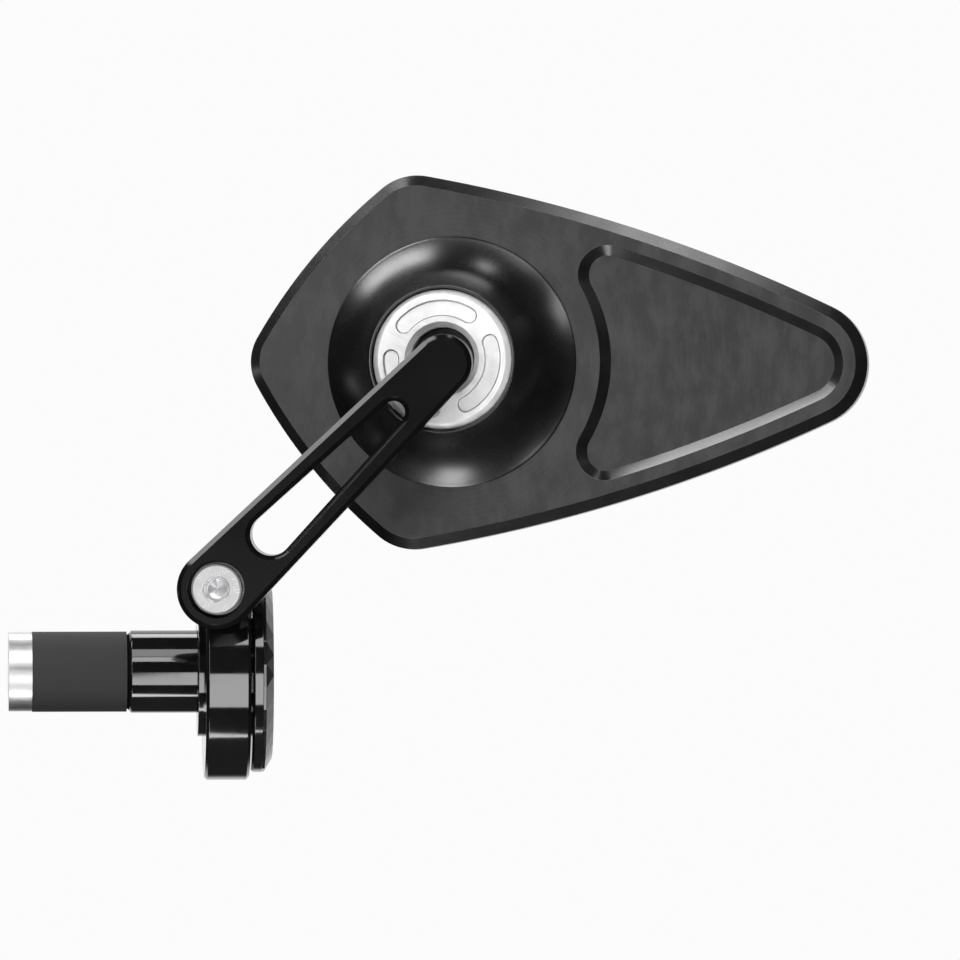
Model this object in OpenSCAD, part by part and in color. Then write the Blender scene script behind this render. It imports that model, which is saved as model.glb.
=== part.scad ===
// Bar-end mirror: a slotted arm on a bar clamp carries a kite-shaped mirror head on a ball joint.
// X runs outward along the bar, Y points to the rider and Z up. The origin is where the bar ends.

/* [Bar end] */
// Radius of the plug's shank, which slides into the bar
shank_r = 7; // [6:0.1:9]
// Length of the plug's shank
shank_len = 12; // [9:0.5:20]
// Radius of the collar that the clamp ring turns on
collar_r = 11; // [10:0.1:12.5]
// Radius of the plug's outer flange
flange_r = 17.1; // [16:0.1:19]
// Thickness of the plug's outer flange
flange_t = 1.8; // [1.5:0.1:3]
// Radius of the faceted end cap where it leaves the flange
cap_r = 17; // [15.5:0.1:18.5]
// Width of the facets on the cap's rim, across the radius
cap_facet_w = 2.2; // [1:0.1:4]
// Height of the end cap above the flange
cap_t = 1.8; // [1.4:0.1:4]
// Number of facets round the cap's rim
cap_facets = 27; // [16:1:40]
// Radius of the spigot that seats the cap in the plug
spigot_r = 8.9; // [8:0.1:9.4]
// Length of the cap's spigot
spigot_len = 1.9; // [1.7:0.1:2.2]
// Section radius of the cap's seal ring
cap_seal_section = 0.48; // [0.4:0.02:0.5]
// Radius of the expander screw's thread
expander_r = 3; // [2.5:0.1:3.5]
// Radius of the expander screw's head
expander_head_r = 5; // [4.4:0.1:5.4]
// Height of the expander screw's head
expander_head_h = 5; // [4:0.1:5.5]
// Length of the rubber expander sleeve
sleeve_len = 16; // [12:0.5:24]
// Radius of the rubber expander sleeve
sleeve_r = 6.8; // [6:0.1:8.8]
// Length of the cone nut's taper
cone_len = 8; // [6:0.5:12]

/* [Clamp] */
// Outer radius of the clamp ring
clamp_r = 18.4; // [17:0.1:20]
// Width of the clamp ring along the bar
clamp_w = 7.6; // [7:0.1:10]
// Bevel on the clamp ring's outer edges
clamp_bevel = 0.5; // [0.3:0.05:1.2]
// Width of the clamp ring's slit
slit_w = 1.5; // [1:0.1:2.5]
// Height of the pivot screw above the bar's axis
pivot_z = 14.9; // [14.6:0.1:15.5]
// Turn of the pivot screw about the upright, which swings the arm's tip forward
arm_yaw = 5.5; // [0:0.5:6]
// Distance of the front lug's flat from the bar's axis
lug_front = 17.5; // [16.5:0.1:19]
// Distance of the rear lug's flat from the bar's axis
lug_rear = 9; // [8:0.1:10]
// Radius of both lugs about the pivot screw
lug_r = 5.4; // [5:0.1:6]
// Radius of the pivot screw's thread
pivot_r = 2.5; // [2.2:0.1:2.6]
// Radius of the pivot screw's head
pivot_head_r = 4.25; // [4:0.05:4.5]
// Height of the pivot screw's head
pivot_head_h = 3.8; // [3:0.1:4]
// Width of the pivot screw's socket across its flats
pivot_socket_w = 4; // [3:0.5:4.5]
// Depth of the pivot screw's socket
pivot_socket_depth = 2.4; // [1.5:0.1:2.8]
// Thickness of the washers on the pivot screw
washer_t = 0.5; // [0.3:0.05:0.8]

/* [Arm] */
// Distance between the arm's pivot and its ball stud
arm_len = 53.9; // [48:0.1:65]
// Angle of the arm above the bar's axis
arm_angle = 45; // [35:1:60]
// Thickness of the arm
arm_t = 6.5; // [6.4:0.1:8]
// Radius of the arm's end at the pivot
arm_pivot_end_r = 6.7; // [6.2:0.1:7.6]
// Radius of the arm's end at the ball stud
arm_stud_end_r = 4.9; // [4.4:0.1:5.6]
// Bevel on the arm's front edges
arm_bevel = 0.8; // [0.3:0.05:1]
// Bevel on the arm's back edges
arm_back_bevel = 0.4; // [0.2:0.05:0.8]
// Distance of the slot's wide end from the pivot
slot_start = 13; // [12.5:0.1:16]
// Distance of the slot's narrow end from the ball stud
slot_end_gap = 11.7; // [10:0.1:16]
// Radius of the slot's wide end
slot_wide_r = 3.5; // [2.5:0.1:3.8]
// Radius of the slot's narrow end
slot_narrow_r = 1.95; // [1.5:0.05:2.6]
// Radius of the counterbore for the pivot screw's head
counterbore_r = 4.9; // [4.7:0.05:5.2]
// Depth of the pivot screw's head below the arm's face
head_recess = 0.6; // [0.2:0.1:0.8]

/* [Ball joint] */
// Radius of the ball
ball_r = 5.8; // [5.6:0.05:5.9]
// Distance of the ball's centre from the arm's back
ball_reach = 9.7; // [9.5:0.1:12]
// Radius of the ball stud's neck
neck_r = 2.6; // [2.2:0.1:2.7]
// Radius of the ball stud's threaded shank
stud_r = 2.5; // [2:0.1:2.6]
// Depth of the shank in the arm
stud_depth = 4.5; // [3.5:0.1:5]
// Distance of the flat on the ball's underside from its centre
ball_flat = 4.4; // [4:0.1:4.5]
// Wall of the ball liner
liner_wall = 0.6; // [0.4:0.05:0.65]
// Half angle of the ball liner's mouth
liner_mouth = 52; // [50:1:56]
// Radius of the ball seats and of the spring below them
seat_r = 9.4; // [8.8:0.1:9.6]
// Thickness of the seat spring
spring_t = 0.5; // [0.3:0.05:0.6]
// Radius of the stud's set screw
set_screw_r = 1.25; // [1:0.05:1.5]
// Angle of the stud's set screw about the stud
set_screw_angle = 79; // [60:1:110]

/* [Mirror head] */
// Turn of the head about the upright axis
head_pan = -5.7; // [-8:0.1:0]
// Lean of the head about the bar's direction
head_tilt = -4.1; // [-6:0.1:0]
// Distance of the blade's far tip circle from the hub
far_tip_x = 60; // [54:0.5:70]
// Radius of the blade's far tip
far_tip_r = 10.7; // [9:0.1:13]
// Distance of the blade's shoulder circles from the hub, along the blade
shoulder_x = -6.5; // [-9:0.1:-4]
// Distance of the blade's shoulder circles from its centre line
shoulder_y = 22.3; // [21:0.1:25]
// Radius of the blade's shoulders
shoulder_r = 9.4; // [8:0.1:11]
// Distance of the blade's near tip circle from the hub
near_tip_x = -26.5; // [-30:0.1:-24]
// Radius of the blade's near tip
near_tip_r = 8.3; // [7:0.1:10]
// Radius of the blade's long sides
long_side_r = 275; // [200:5:500]
// Radius of the blade's short sides
short_side_r = 92; // [70:1:200]
// Thickness of the blade
blade_t = 4.6; // [4.5:0.1:6]
// Bevel on the blade's back edge
blade_bevel = 1.8; // [1:0.1:2.2]
// Bevel on the blade's front edge
blade_front_bevel = 0.5; // [0.2:0.05:0.8]
// Radius of the dome's foot on the blade
dome_r = 21.3; // [20:0.1:23]
// Height of the dome's lip above the blade
dome_h = 11; // [10.6:0.1:12]
// Slope of the dome at its foot
dome_foot_slope = 30; // [25:1:36]
// Wall of the dome at its lip
lip_wall = 0.45; // [0.3:0.05:0.8]
// Distance of the triangular pocket from the hub's axis
pocket_hub_r = 25.3; // [24:0.1:28]
// Width of the land between the pocket and the blade's edge
pocket_land = 3.9; // [3:0.1:5]
// Radius of the pocket's two inner corners
pocket_corner_r = 5; // [4:0.1:6]
// Depth of the pocket
pocket_depth = 1.5; // [0.8:0.1:1.6]
// Width of the pocket's sloped wall
pocket_slope_w = 1.7; // [1:0.1:2.2]

/* [Retaining ring] */
// Radius of the retaining ring
ring_r = 11.8; // [11.4:0.1:12.2]
// Thickness of the retaining ring
ring_t = 2.9; // [2.6:0.1:2.9]
// Radius of the ring's hole
ring_hole_r = 5.45; // [5.4:0.05:5.7]
// Bevels of the ring's face
ring_bevel = 0.9; // [0.4:0.05:1]
// Height of the ring's face above the dome's lip
ring_proud = 0.2; // [0:0.05:0.4]
// Number of spanner pockets in the ring
kidneys = 3; // [2:1:3]
// Angle that a spanner pocket spans between its end centres
kidney_span = 81; // [30:1:90]
// Angle of the first spanner pocket's middle
kidney_start = 99; // [80:1:120]
// Radius of the spanner pockets' middle line
kidney_mid_r = 8.66; // [8.5:0.01:8.9]
// Width of the spanner pockets
kidney_w = 2.78; // [2:0.02:2.9]
// Depth of the spanner pockets
kidney_depth = 0.6; // [0.3:0.05:1]
// Section radius of the ring's seal
ring_seal_section = 0.44; // [0.4:0.01:0.47]

/* [Pane] */
// Width of the rim round the pane
rim_w = 2.2; // [1.5:0.1:3]
// Thickness of the pane at its crown
pane_t = 1.8; // [1.7:0.1:2.4]
// Radius of the pane's convex face
pane_curve_r = 1400; // [1200:50:3000]
// Thickness of the adhesive behind the pane
adhesive_t = 0.3; // [0.2:0.05:0.5]

/* [Fits] */
// Radial clearance of turning and rolling faces
running_gap = 0.05; // [0.02:0.01:0.08]
// Radial clearance of threads and pressed seats
thread_gap = 0.02; // [0.01:0.01:0.04]
// Radial clearance of a screw in its hole
screw_gap = 0.25; // [0.1:0.05:0.3]
// Clearance between the clamp ring and the plug's flange
side_gap = 0.3; // [0.3:0.05:0.6]
// Clearance between the clamp ring and the bar's end
bar_gap = 1.1; // [0.8:0.1:2]
// Clearance between the front lug and the bar's end
lug_gap = 0.2; // [0.1:0.05:0.4]
// Clearance of the pane in its rim
pane_gap = 0.15; // [0.1:0.05:0.3]

/* [Hidden] */
$fn = 96;
eps = 0.01;

// Points on each rounded corner and on each long curve of an outline
corner_steps = 10;
side_steps = 14;
crown_bands = 14;

// Places along the bar
clamp_x0 = bar_gap;
clamp_x1 = clamp_x0 + clamp_w;
flange_x0 = clamp_x1 + side_gap;
flange_x1 = flange_x0 + flange_t;
cap_seat_x = flange_x1 - spigot_len - 2 * running_gap;
cap_x1 = flange_x1 + cap_t;
cap_seat_r = spigot_r + 2 * running_gap;
cap_floor_t = 1.6;
expander_clear = 0.6;
expander_bed_x = flange_x1 - spigot_len - expander_head_h - expander_clear - washer_t;
sleeve_wall = 2.2;
sleeve_x0 = -shank_len - sleeve_len;
cone_tip_in = cone_len / 2;
cone_x0 = sleeve_x0 - cone_len + cone_tip_in;
cone_small_r = sleeve_r - sleeve_wall;
cone_large_r = sleeve_r - 2 * running_gap;

// Places across the bar, at the pivot
pivot_x = clamp_x0 + clamp_w / 2;
arm_back_y = -lug_front - washer_t;
arm_front_y = arm_back_y - arm_t;
head_top_y = arm_front_y + head_recess;
head_bed_y = head_top_y + pivot_head_h;
counterbore_y = head_bed_y + washer_t;
screw_end_in = 0.3;
screw_tip_y = lug_rear - screw_end_in;
slot_end = arm_len - slot_end_gap;
stud_x = arm_len * cos(arm_angle);
stud_z = arm_len * sin(arm_angle);
ball_y = arm_back_y + ball_reach;

// Heights in the head, measured from the ball's centre towards the arm
liner_r = ball_r + running_gap + liner_wall;
socket_r = liner_r + running_gap;
ring_face_z = 6.5;
ring_back_z = ring_face_z - ring_t;
lip_z = ring_face_z - ring_proud;
blade_back_z = lip_z - dome_h;
blade_front_z = blade_back_z - blade_t;
recess_floor_z = blade_front_z + pane_t + adhesive_t;
hub_web = 1.3;
cavity_floor_z = recess_floor_z + hub_web;
spring_h = 0.9;
rear_seat_z = cavity_floor_z + spring_h + 2 * running_gap;
seat_split = 0.3;
ring_step_z = ring_back_z - 2 * ring_seal_section - 2 * thread_gap;
thread_r = ring_r + 10 * thread_gap;
lip_r = thread_r + lip_wall;
seat_bore_r = seat_r + running_gap;
seal_mid_r = (ring_r + seat_r) / 2 + thread_gap;

// The dome's flank is a circular hollow between its foot and its lip
dome_run = dome_r - lip_r;
dome_chord = norm([dome_run, dome_h]);
dome_turn = atan2(dome_h, dome_run) - dome_foot_slope;
dome_hollow_r = dome_chord / (2 * sin(dome_turn));
dome_hollow_mid = [dome_r + dome_hollow_r * sin(dome_foot_slope), blade_back_z + dome_hollow_r * cos(dome_foot_slope)];

// Corner circles of the blade, counter-clockwise from the far tip: place and radius
blade_corners = [
    [[far_tip_x, 0], far_tip_r],
    [[shoulder_x, shoulder_y], shoulder_r],
    [[near_tip_x, 0], near_tip_r],
    [[shoulder_x, -shoulder_y], shoulder_r]
];
blade_sides = [long_side_r, short_side_r, short_side_r, long_side_r];
pane_mid_x = (far_tip_x + far_tip_r + near_tip_x - near_tip_r) / 2;
pane_reach = (far_tip_x + far_tip_r - near_tip_x + near_tip_r) / 2;

// Point at distance da from a and db from b, on the left of the way from a to b
function meet(a, da, b, db) =
    let (way = b - a, d = norm(way), e = way / d, s = (d * d + da * da - db * db) / (2 * d))
    a + e * s + [-e[1], e[0]] * sqrt(da * da - s * s);

// Angle of the way from a to b
function bearing(a, b) = atan2(b[1] - a[1], b[0] - a[0]);

// The angle a1 as the first one reached counter-clockwise from a0
function onward(a0, a1) = a1 < a0 ? a1 + 360 : a1;

// Points of an arc, without its last one
function arc_points(mid, r, a0, a1, steps) =
    [for (i = [0 : steps - 1]) let (a = a0 + (a1 - a0) * i / steps) mid + r * [cos(a), sin(a)]];

// Middle of the side that leaves corner i
function side_mid(corners, sides, i) =
    let (a = corners[i], b = corners[(i + 1) % len(corners)])
    meet(a[0], sides[i] - a[1], b[0], sides[i] - b[1]);

// Closed outline of corner circles joined by bulged sides, drawn in by inset
function bulged_outline(corners, sides, inset = 0) =
    let (n = len(corners))
    [for (i = [0 : n - 1])
        let (
            j = (i + 1) % n,
            mid = side_mid(corners, sides, i),
            next_mid = side_mid(corners, sides, j),
            a0 = bearing(mid, corners[i][0]),
            a1 = onward(a0, bearing(mid, corners[j][0])),
            a2 = onward(a1, bearing(next_mid, corners[j][0]))
        )
        each concat(
            arc_points(mid, sides[i] - inset, a0, a1, side_steps),
            arc_points(corners[j][0], corners[j][1] - inset, a1, a2, corner_steps)
        )
    ];

// Outline of two circles on the x axis joined by straight flanks, drawn in by inset
function belt_outline(x0, r0, x1, r1, inset = 0) =
    let (lean = acos((r0 - r1) / (x1 - x0)))
    concat(
        arc_points([x1, 0], r1 - inset, -lean, lean, 2 * corner_steps),
        [[x1, 0] + (r1 - inset) * [cos(lean), sin(lean)]],
        arc_points([x0, 0], r0 - inset, lean, 360 - lean, 2 * corner_steps),
        [[x0, 0] + (r0 - inset) * [cos(lean), -sin(lean)]]
    );

// Upper half of the pocket's outline, from the far tip to its inner side
function pocket_half(inset) =
    let (
        hub = [0, 0],
        mid = side_mid(blade_corners, blade_sides, 0),
        side_r = long_side_r - pocket_land,
        corner = meet(hub, pocket_hub_r + pocket_corner_r, mid, side_r - pocket_corner_r),
        tip = blade_corners[0][0],
        tip_a = bearing(mid, tip),
        corner_a = bearing(mid, corner),
        hub_a = bearing(hub, corner)
    )
    concat(
        arc_points(tip, far_tip_r - pocket_land - inset, 0, tip_a, corner_steps),
        arc_points(mid, side_r - inset, tip_a, corner_a, side_steps),
        arc_points(corner, pocket_corner_r - inset, corner_a, 180 + hub_a, corner_steps),
        arc_points(hub, pocket_hub_r + inset, hub_a, 0, corner_steps)
    );

// The pocket's whole outline: its upper half, the middle of its inner side, and the lower half
function pocket_outline(inset) =
    let (half = pocket_half(inset), n = len(half))
    concat(half, [[pocket_hub_r + inset, 0]], [for (i = [n - 1 : -1 : 1]) [half[i][0], -half[i][1]]]);

// Solid through matching outlines, each at its own height
module stacked(outlines, heights) {
    n = len(outlines[0]);
    m = len(outlines);
    polyhedron(
        points = [for (k = [0 : m - 1]) for (p = outlines[k]) [p[0], p[1], heights[k]]],
        faces = concat(
            [[for (i = [0 : n - 1]) i]],
            [[for (i = [n - 1 : -1 : 0]) (m - 1) * n + i]],
            [for (k = [0 : m - 2]) for (i = [0 : n - 1])
                [k * n + i, (k + 1) * n + i, (k + 1) * n + (i + 1) % n, k * n + (i + 1) % n]]
        )
    );
}

// Rod along the bar from x0 to x1
module rod_x(r, x0, x1, r_end = undef) {
    translate([x0, 0, 0]) rotate([0, 90, 0]) cylinder(h = x1 - x0, r1 = r, r2 = is_undef(r_end) ? r : r_end);
}

// Places children at the pivot screw: y along it, with zero in the clamp ring's middle
module at_pivot() {
    translate([pivot_x, 0, pivot_z]) rotate([0, 0, -arm_yaw]) children();
}

// Rod along the pivot screw's axis from y0 to y1
module rod_y(r, y0, y1, r_end = undef) {
    at_pivot() translate([0, y0, 0]) rotate([-90, 0, 0])
        cylinder(h = y1 - y0, r1 = r, r2 = is_undef(r_end) ? r : r_end);
}

// Places children in the arm: x along it from the pivot, z from its back towards its face
module in_arm() {
    at_pivot() translate([0, arm_back_y, 0]) rotate([0, -arm_angle, 0]) rotate([90, 0, 0]) children();
}

// Places children at the ball, still square to the arm
module at_ball() {
    at_pivot() translate([stud_x, ball_y, stud_z]) children();
}

// Places children in the head: x along the blade, z from the ball towards the arm
module in_head() {
    at_ball() rotate([head_tilt, 0, head_pan]) rotate([90, 0, 0]) children();
}

// Disc in the head from z0 to z1
module disc(r, z0, z1, r_end = undef) {
    translate([0, 0, z0]) cylinder(h = z1 - z0, r1 = r, r2 = is_undef(r_end) ? r : r_end);
}

module bar_end_plug() {
    shank_bevel = 0.8;
    flange_bevel = 0.4;
    color("#151516") difference() {
        union() {
            rod_x(shank_r - shank_bevel, -shank_len, -shank_len + shank_bevel, shank_r);
            rod_x(shank_r, -shank_len + shank_bevel, eps);
            rod_x(collar_r, 0, flange_x0 + eps);
            rod_x(flange_r - flange_bevel, flange_x0, flange_x0 + flange_bevel, flange_r);
            rod_x(flange_r, flange_x0 + flange_bevel, flange_x1);
        }
        rod_x(cap_seat_r, cap_seat_x, flange_x1 + 1);
        rod_x(expander_head_r + expander_clear, expander_bed_x, cap_seat_x + eps);
        rod_x(expander_r + screw_gap, -shank_len - 1, expander_bed_x + eps);
    }
}

module end_cap() {
    rim_t = 0.5;
    groove_w = 2 * cap_seal_section + 4 * thread_gap;
    groove_x0 = flange_x1 - groove_w - 0.4;
    groove_r = spigot_r - 2 * cap_seal_section + thread_gap;
    bore_r = groove_r - 1.6;
    color("#1b1b1d") difference() {
        union() {
            hull() {
                rotate([0, 90, 0]) translate([0, 0, flange_x1]) cylinder(h = rim_t, r = cap_r, $fn = cap_facets);
                rotate([0, 90, 0]) translate([0, 0, cap_x1 - eps]) rotate([0, 0, 180 / cap_facets])
                    cylinder(h = eps, r = cap_r - cap_facet_w, $fn = cap_facets);
            }
            rod_x(spigot_r, flange_x1 - spigot_len, flange_x1 + eps);
        }
        difference() {
            rod_x(spigot_r + 1, groove_x0, groove_x0 + groove_w);
            rod_x(groove_r, groove_x0 - 1, groove_x0 + groove_w + 1);
        }
        rod_x(bore_r, flange_x1 - spigot_len - 1, cap_x1 - cap_floor_t);
    }
}

module cap_seal() {
    seal_mid = spigot_r - cap_seal_section + 2 * thread_gap;
    seal_x = flange_x1 - 0.4 - cap_seal_section - 2 * thread_gap;
    color("#101010") translate([seal_x, 0, 0]) rotate([0, 90, 0])
        rotate_extrude() translate([seal_mid, 0]) circle(r = cap_seal_section, $fn = 24);
}

// Socket-head screw standing on z = 0 with its thread below
module socket_screw(thread_r, thread_len, head_r, head_h, socket_w, socket_depth) {
    head_bevel = 0.35;
    mouth = 0.35;
    socket_r = socket_w / (2 * cos(30));
    difference() {
        union() {
            disc(head_r, 0, head_h - head_bevel);
            disc(head_r, head_h - head_bevel, head_h, head_r - head_bevel);
            disc(thread_r, -thread_len, eps);
        }
        translate([0, 0, head_h - socket_depth]) cylinder(h = socket_depth + 1, r = socket_r, $fn = 6);
        disc(socket_r - eps, head_h - mouth, head_h + eps, socket_r + mouth);
    }
}

module expander_screw() {
    thread_len = expander_bed_x + washer_t - cone_x0;
    socket_w = 5;
    socket_depth = 3;
    color("#b9bbbe") translate([expander_bed_x + washer_t, 0, 0]) rotate([0, 90, 0])
        socket_screw(expander_r, thread_len, expander_head_r, expander_head_h, socket_w, socket_depth);
}

// Flat washer from z = 0 up
module washer(outer, inner, t) {
    difference() {
        disc(outer, 0, t);
        disc(inner, -1, t + 1);
    }
}

module expander_washer() {
    color("#a9abae") translate([expander_bed_x, 0, 0]) rotate([0, 90, 0])
        washer(expander_head_r + screw_gap, expander_r + screw_gap / 2, washer_t);
}

module expander_sleeve() {
    color("#161616") difference() {
        rod_x(sleeve_r, sleeve_x0, -shank_len);
        rod_x(expander_r + screw_gap, sleeve_x0 - 1, -shank_len + 1);
        rod_x(sleeve_r - sleeve_wall / 2, sleeve_x0 - eps, sleeve_x0 + cone_tip_in, cone_small_r);
    }
}

module expander_cone() {
    mouth_r = sleeve_r - sleeve_wall / 2;
    color("#8d8f92") difference() {
        union() {
            rod_x(cone_large_r, cone_x0, sleeve_x0 - thread_gap);
            rod_x(mouth_r - thread_gap, sleeve_x0 - thread_gap, sleeve_x0 + cone_tip_in - thread_gap, cone_small_r - thread_gap);
        }
        rod_x(expander_r + thread_gap, cone_x0 - 1, sleeve_x0 + cone_tip_in + 1);
    }
}

module clamp_ring() {
    slit_top = pivot_z + 2 * lug_r;
    color("#131314") difference() {
        union() {
            rod_x(clamp_r - clamp_bevel, clamp_x0, clamp_x0 + clamp_bevel, clamp_r);
            rod_x(clamp_r, clamp_x0 + clamp_bevel, clamp_x1 - clamp_bevel);
            rod_x(clamp_r, clamp_x1 - clamp_bevel, clamp_x1, clamp_r - clamp_bevel);
            intersection() {
                rod_y(lug_r, -lug_front, lug_rear);
                at_pivot() translate([-clamp_w / 2, -lug_front - 1, -pivot_z])
                    cube([clamp_w, lug_front + lug_rear + 2, slit_top]);
                translate([lug_gap, -2 * lug_front, 0]) cube([clamp_x1 - lug_gap, 4 * lug_front, slit_top]);
            }
        }
        rod_x(collar_r + running_gap, clamp_x0 - 1, clamp_x1 + 1);
        translate([clamp_x0 - 2, -slit_w / 2, 0]) cube([clamp_w + 4, slit_w, slit_top]);
        rod_y(pivot_r + screw_gap, -lug_front - 1, 0);
        rod_y(pivot_r + thread_gap, 0, lug_rear + 1);
    }
}

module pivot_screw() {
    color("#c9cbcd") at_pivot() translate([0, head_bed_y, 0]) rotate([90, 0, 0])
        socket_screw(pivot_r, screw_tip_y - head_bed_y, pivot_head_r, pivot_head_h, pivot_socket_w, pivot_socket_depth);
}

module head_washer() {
    color("#a9abae") at_pivot() translate([0, counterbore_y, 0]) rotate([90, 0, 0])
        washer(pivot_head_r + screw_gap, pivot_r + screw_gap / 2, washer_t);
}

module friction_washer() {
    color("#2a2a2b") at_pivot() translate([0, -lug_front, 0]) rotate([90, 0, 0])
        washer(clamp_w / 2, pivot_r + screw_gap / 2, washer_t);
}

module arm() {
    slot_flare = arm_bevel;
    color("#141415") difference() {
        in_arm() difference() {
            stacked(
                [for (inset = [arm_back_bevel, 0, 0, arm_bevel])
                    belt_outline(0, arm_pivot_end_r, arm_len, arm_stud_end_r, inset)],
                [0, arm_back_bevel, arm_t - arm_bevel, arm_t]
            );
            stacked(
                [for (inset = [0, 0, -slot_flare - eps])
                    belt_outline(slot_start, slot_wide_r, slot_end, slot_narrow_r, inset)],
                [-1, arm_t - slot_flare, arm_t + eps]
            );
            translate([arm_len, 0, 0]) {
                disc(stud_r + thread_gap, -1, stud_depth + thread_gap);
                rotate([0, 0, set_screw_angle - arm_angle]) translate([0, 0, stud_depth / 2])
                    rotate([0, 90, 0]) cylinder(h = 2 * arm_stud_end_r, r = set_screw_r + thread_gap);
            }
        }
        rod_y(counterbore_r, arm_front_y - 1, counterbore_y);
        rod_y(pivot_r + running_gap, arm_front_y, arm_back_y + 1);
    }
}

module ball_stud() {
    collar_bevel = 0.4;
    color("#77797c") at_ball() rotate([90, 0, 0]) difference() {
        union() {
            sphere(r = ball_r);
            disc(neck_r, 0, ball_reach);
            disc(stud_r, ball_reach - eps, ball_reach + stud_depth - collar_bevel);
            disc(stud_r, ball_reach + stud_depth - collar_bevel - eps, ball_reach + stud_depth, stud_r - collar_bevel);
        }
        disc(2 * ball_r, -2 * ball_r, -ball_flat);
    }
}

module stud_set_screw() {
    tip_in = stud_r + thread_gap;
    face_in = 0.5;
    screw_len = arm_stud_end_r - face_in - tip_in;
    socket_depth = screw_len / 2;
    color("#26272a") in_arm() translate([arm_len, 0, stud_depth / 2])
        rotate([0, 0, set_screw_angle - arm_angle]) rotate([0, 90, 0]) difference() {
            disc(set_screw_r, tip_in, tip_in + screw_len);
            translate([0, 0, tip_in + screw_len - socket_depth])
                cylinder(h = socket_depth + 1, r = set_screw_r / 2, $fn = 6);
        }
}

module ball_liner() {
    liner_foot = ball_flat + 0.2;
    reach = 2 * liner_r;
    color("#d9d5c8") in_head() difference() {
        sphere(r = liner_r);
        sphere(r = ball_r + running_gap);
        disc(0, 0, reach, reach * tan(liner_mouth));
        disc(reach, -reach, -liner_foot);
    }
}

module front_ball_seat() {
    color("#3c3d40") in_head() difference() {
        disc(seat_r, seat_split, ring_back_z - running_gap);
        sphere(r = socket_r);
    }
}

module rear_ball_seat() {
    color("#3c3d40") in_head() difference() {
        disc(seat_r, rear_seat_z, -seat_split);
        sphere(r = socket_r);
    }
}

module seat_spring() {
    spring_hole_r = seat_r - 3;
    low = cavity_floor_z + running_gap;
    color("#8f9194") in_head() rotate_extrude() polygon([
        [seat_r, low],
        [seat_r, low + spring_t],
        [spring_hole_r, low + spring_h],
        [spring_hole_r, low + spring_h - spring_t]
    ]);
}

module mirror_blade() {
    color("#161617") in_head() difference() {
        union() {
            stacked(
                [for (inset = [blade_front_bevel, 0, 0, blade_bevel]) bulged_outline(blade_corners, blade_sides, inset)],
                [blade_front_z, blade_front_z + blade_front_bevel, blade_back_z - blade_bevel, blade_back_z]
            );
            difference() {
                disc(dome_r, blade_back_z - 1, lip_z);
                rotate_extrude() translate(dome_hollow_mid) circle(r = dome_hollow_r, $fn = 180);
            }
        }
        disc(seat_bore_r, cavity_floor_z, lip_z + 1);
        disc(thread_r, ring_step_z, lip_z + 1);
        pocket_cut();
        translate([0, 0, blade_front_z - 1]) linear_extrude(recess_floor_z - blade_front_z + 1)
            polygon(bulged_outline(blade_corners, blade_sides, rim_w));
    }
}

// Space of the triangular pocket, with its sloped walls carried a little above the blade
module pocket_cut() {
    over = 0.3;
    spread = over * pocket_slope_w / pocket_depth;
    stacked(
        [for (inset = [pocket_slope_w, -spread]) pocket_outline(inset)],
        [blade_back_z - pocket_depth, blade_back_z + over]
    );
}

module retaining_ring() {
    back_bevel = 0.3;
    color("#c4c5c7") in_head() difference() {
        rotate_extrude() polygon([
            [ring_hole_r, ring_back_z],
            [ring_r - back_bevel, ring_back_z],
            [ring_r, ring_back_z + back_bevel],
            [ring_r, ring_face_z - ring_bevel],
            [ring_r - ring_bevel, ring_face_z],
            [ring_hole_r + ring_bevel, ring_face_z],
            [ring_hole_r, ring_face_z - ring_bevel]
        ]);
        for (i = [0 : kidneys - 1]) rotate([0, 0, kidney_start + i * 360 / kidneys]) kidney_cut();
    }
}

// One spanner pocket, its middle on the x axis
module kidney_cut() {
    floor_z = ring_face_z - kidney_depth;
    translate([0, 0, floor_z]) {
        rotate([0, 0, -kidney_span / 2]) rotate_extrude(angle = kidney_span)
            translate([kidney_mid_r - kidney_w / 2, 0]) square([kidney_w, kidney_depth + 1]);
        for (side = [-1, 1]) rotate([0, 0, side * kidney_span / 2]) translate([kidney_mid_r, 0, 0])
            cylinder(h = kidney_depth + 1, r = kidney_w / 2);
    }
}

module ring_seal() {
    color("#0f0f0f") in_head() translate([0, 0, ring_step_z + ring_seal_section + thread_gap])
        rotate_extrude() translate([seal_mid_r, 0]) circle(r = ring_seal_section, $fn = 24);
}

// Depth of the pane's crown at distance r from its middle
function crown_sag(r) = r * r / (2 * pane_curve_r);

module mirror_pane() {
    back_z = blade_front_z + pane_t;
    color("#c8d2dc") in_head() intersection() {
        translate([0, 0, blade_front_z - 1]) linear_extrude(pane_t + 1)
            polygon(bulged_outline(blade_corners, blade_sides, rim_w + pane_gap));
        translate([pane_mid_x, 0, 0]) rotate_extrude() polygon(concat(
            [[0, back_z], [0, blade_front_z]],
            [for (i = [1 : crown_bands]) let (r = pane_reach * i / crown_bands) [r, blade_front_z + crown_sag(r)]],
            [[pane_reach, back_z]]
        ));
    }
}

module pane_adhesive() {
    edge_in = 1;
    color("#1d1d1f") in_head() translate([0, 0, blade_front_z + pane_t]) linear_extrude(adhesive_t)
        polygon(bulged_outline(blade_corners, blade_sides, rim_w + pane_gap + edge_in));
}

bar_end_plug();
end_cap();
cap_seal();
expander_screw();
expander_washer();
expander_sleeve();
expander_cone();
clamp_ring();
pivot_screw();
head_washer();
friction_washer();
arm();
ball_stud();
stud_set_screw();
ball_liner();
front_ball_seat();
rear_ball_seat();
seat_spring();
mirror_blade();
retaining_ring();
ring_seal();
mirror_pane();
pane_adhesive();
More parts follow.
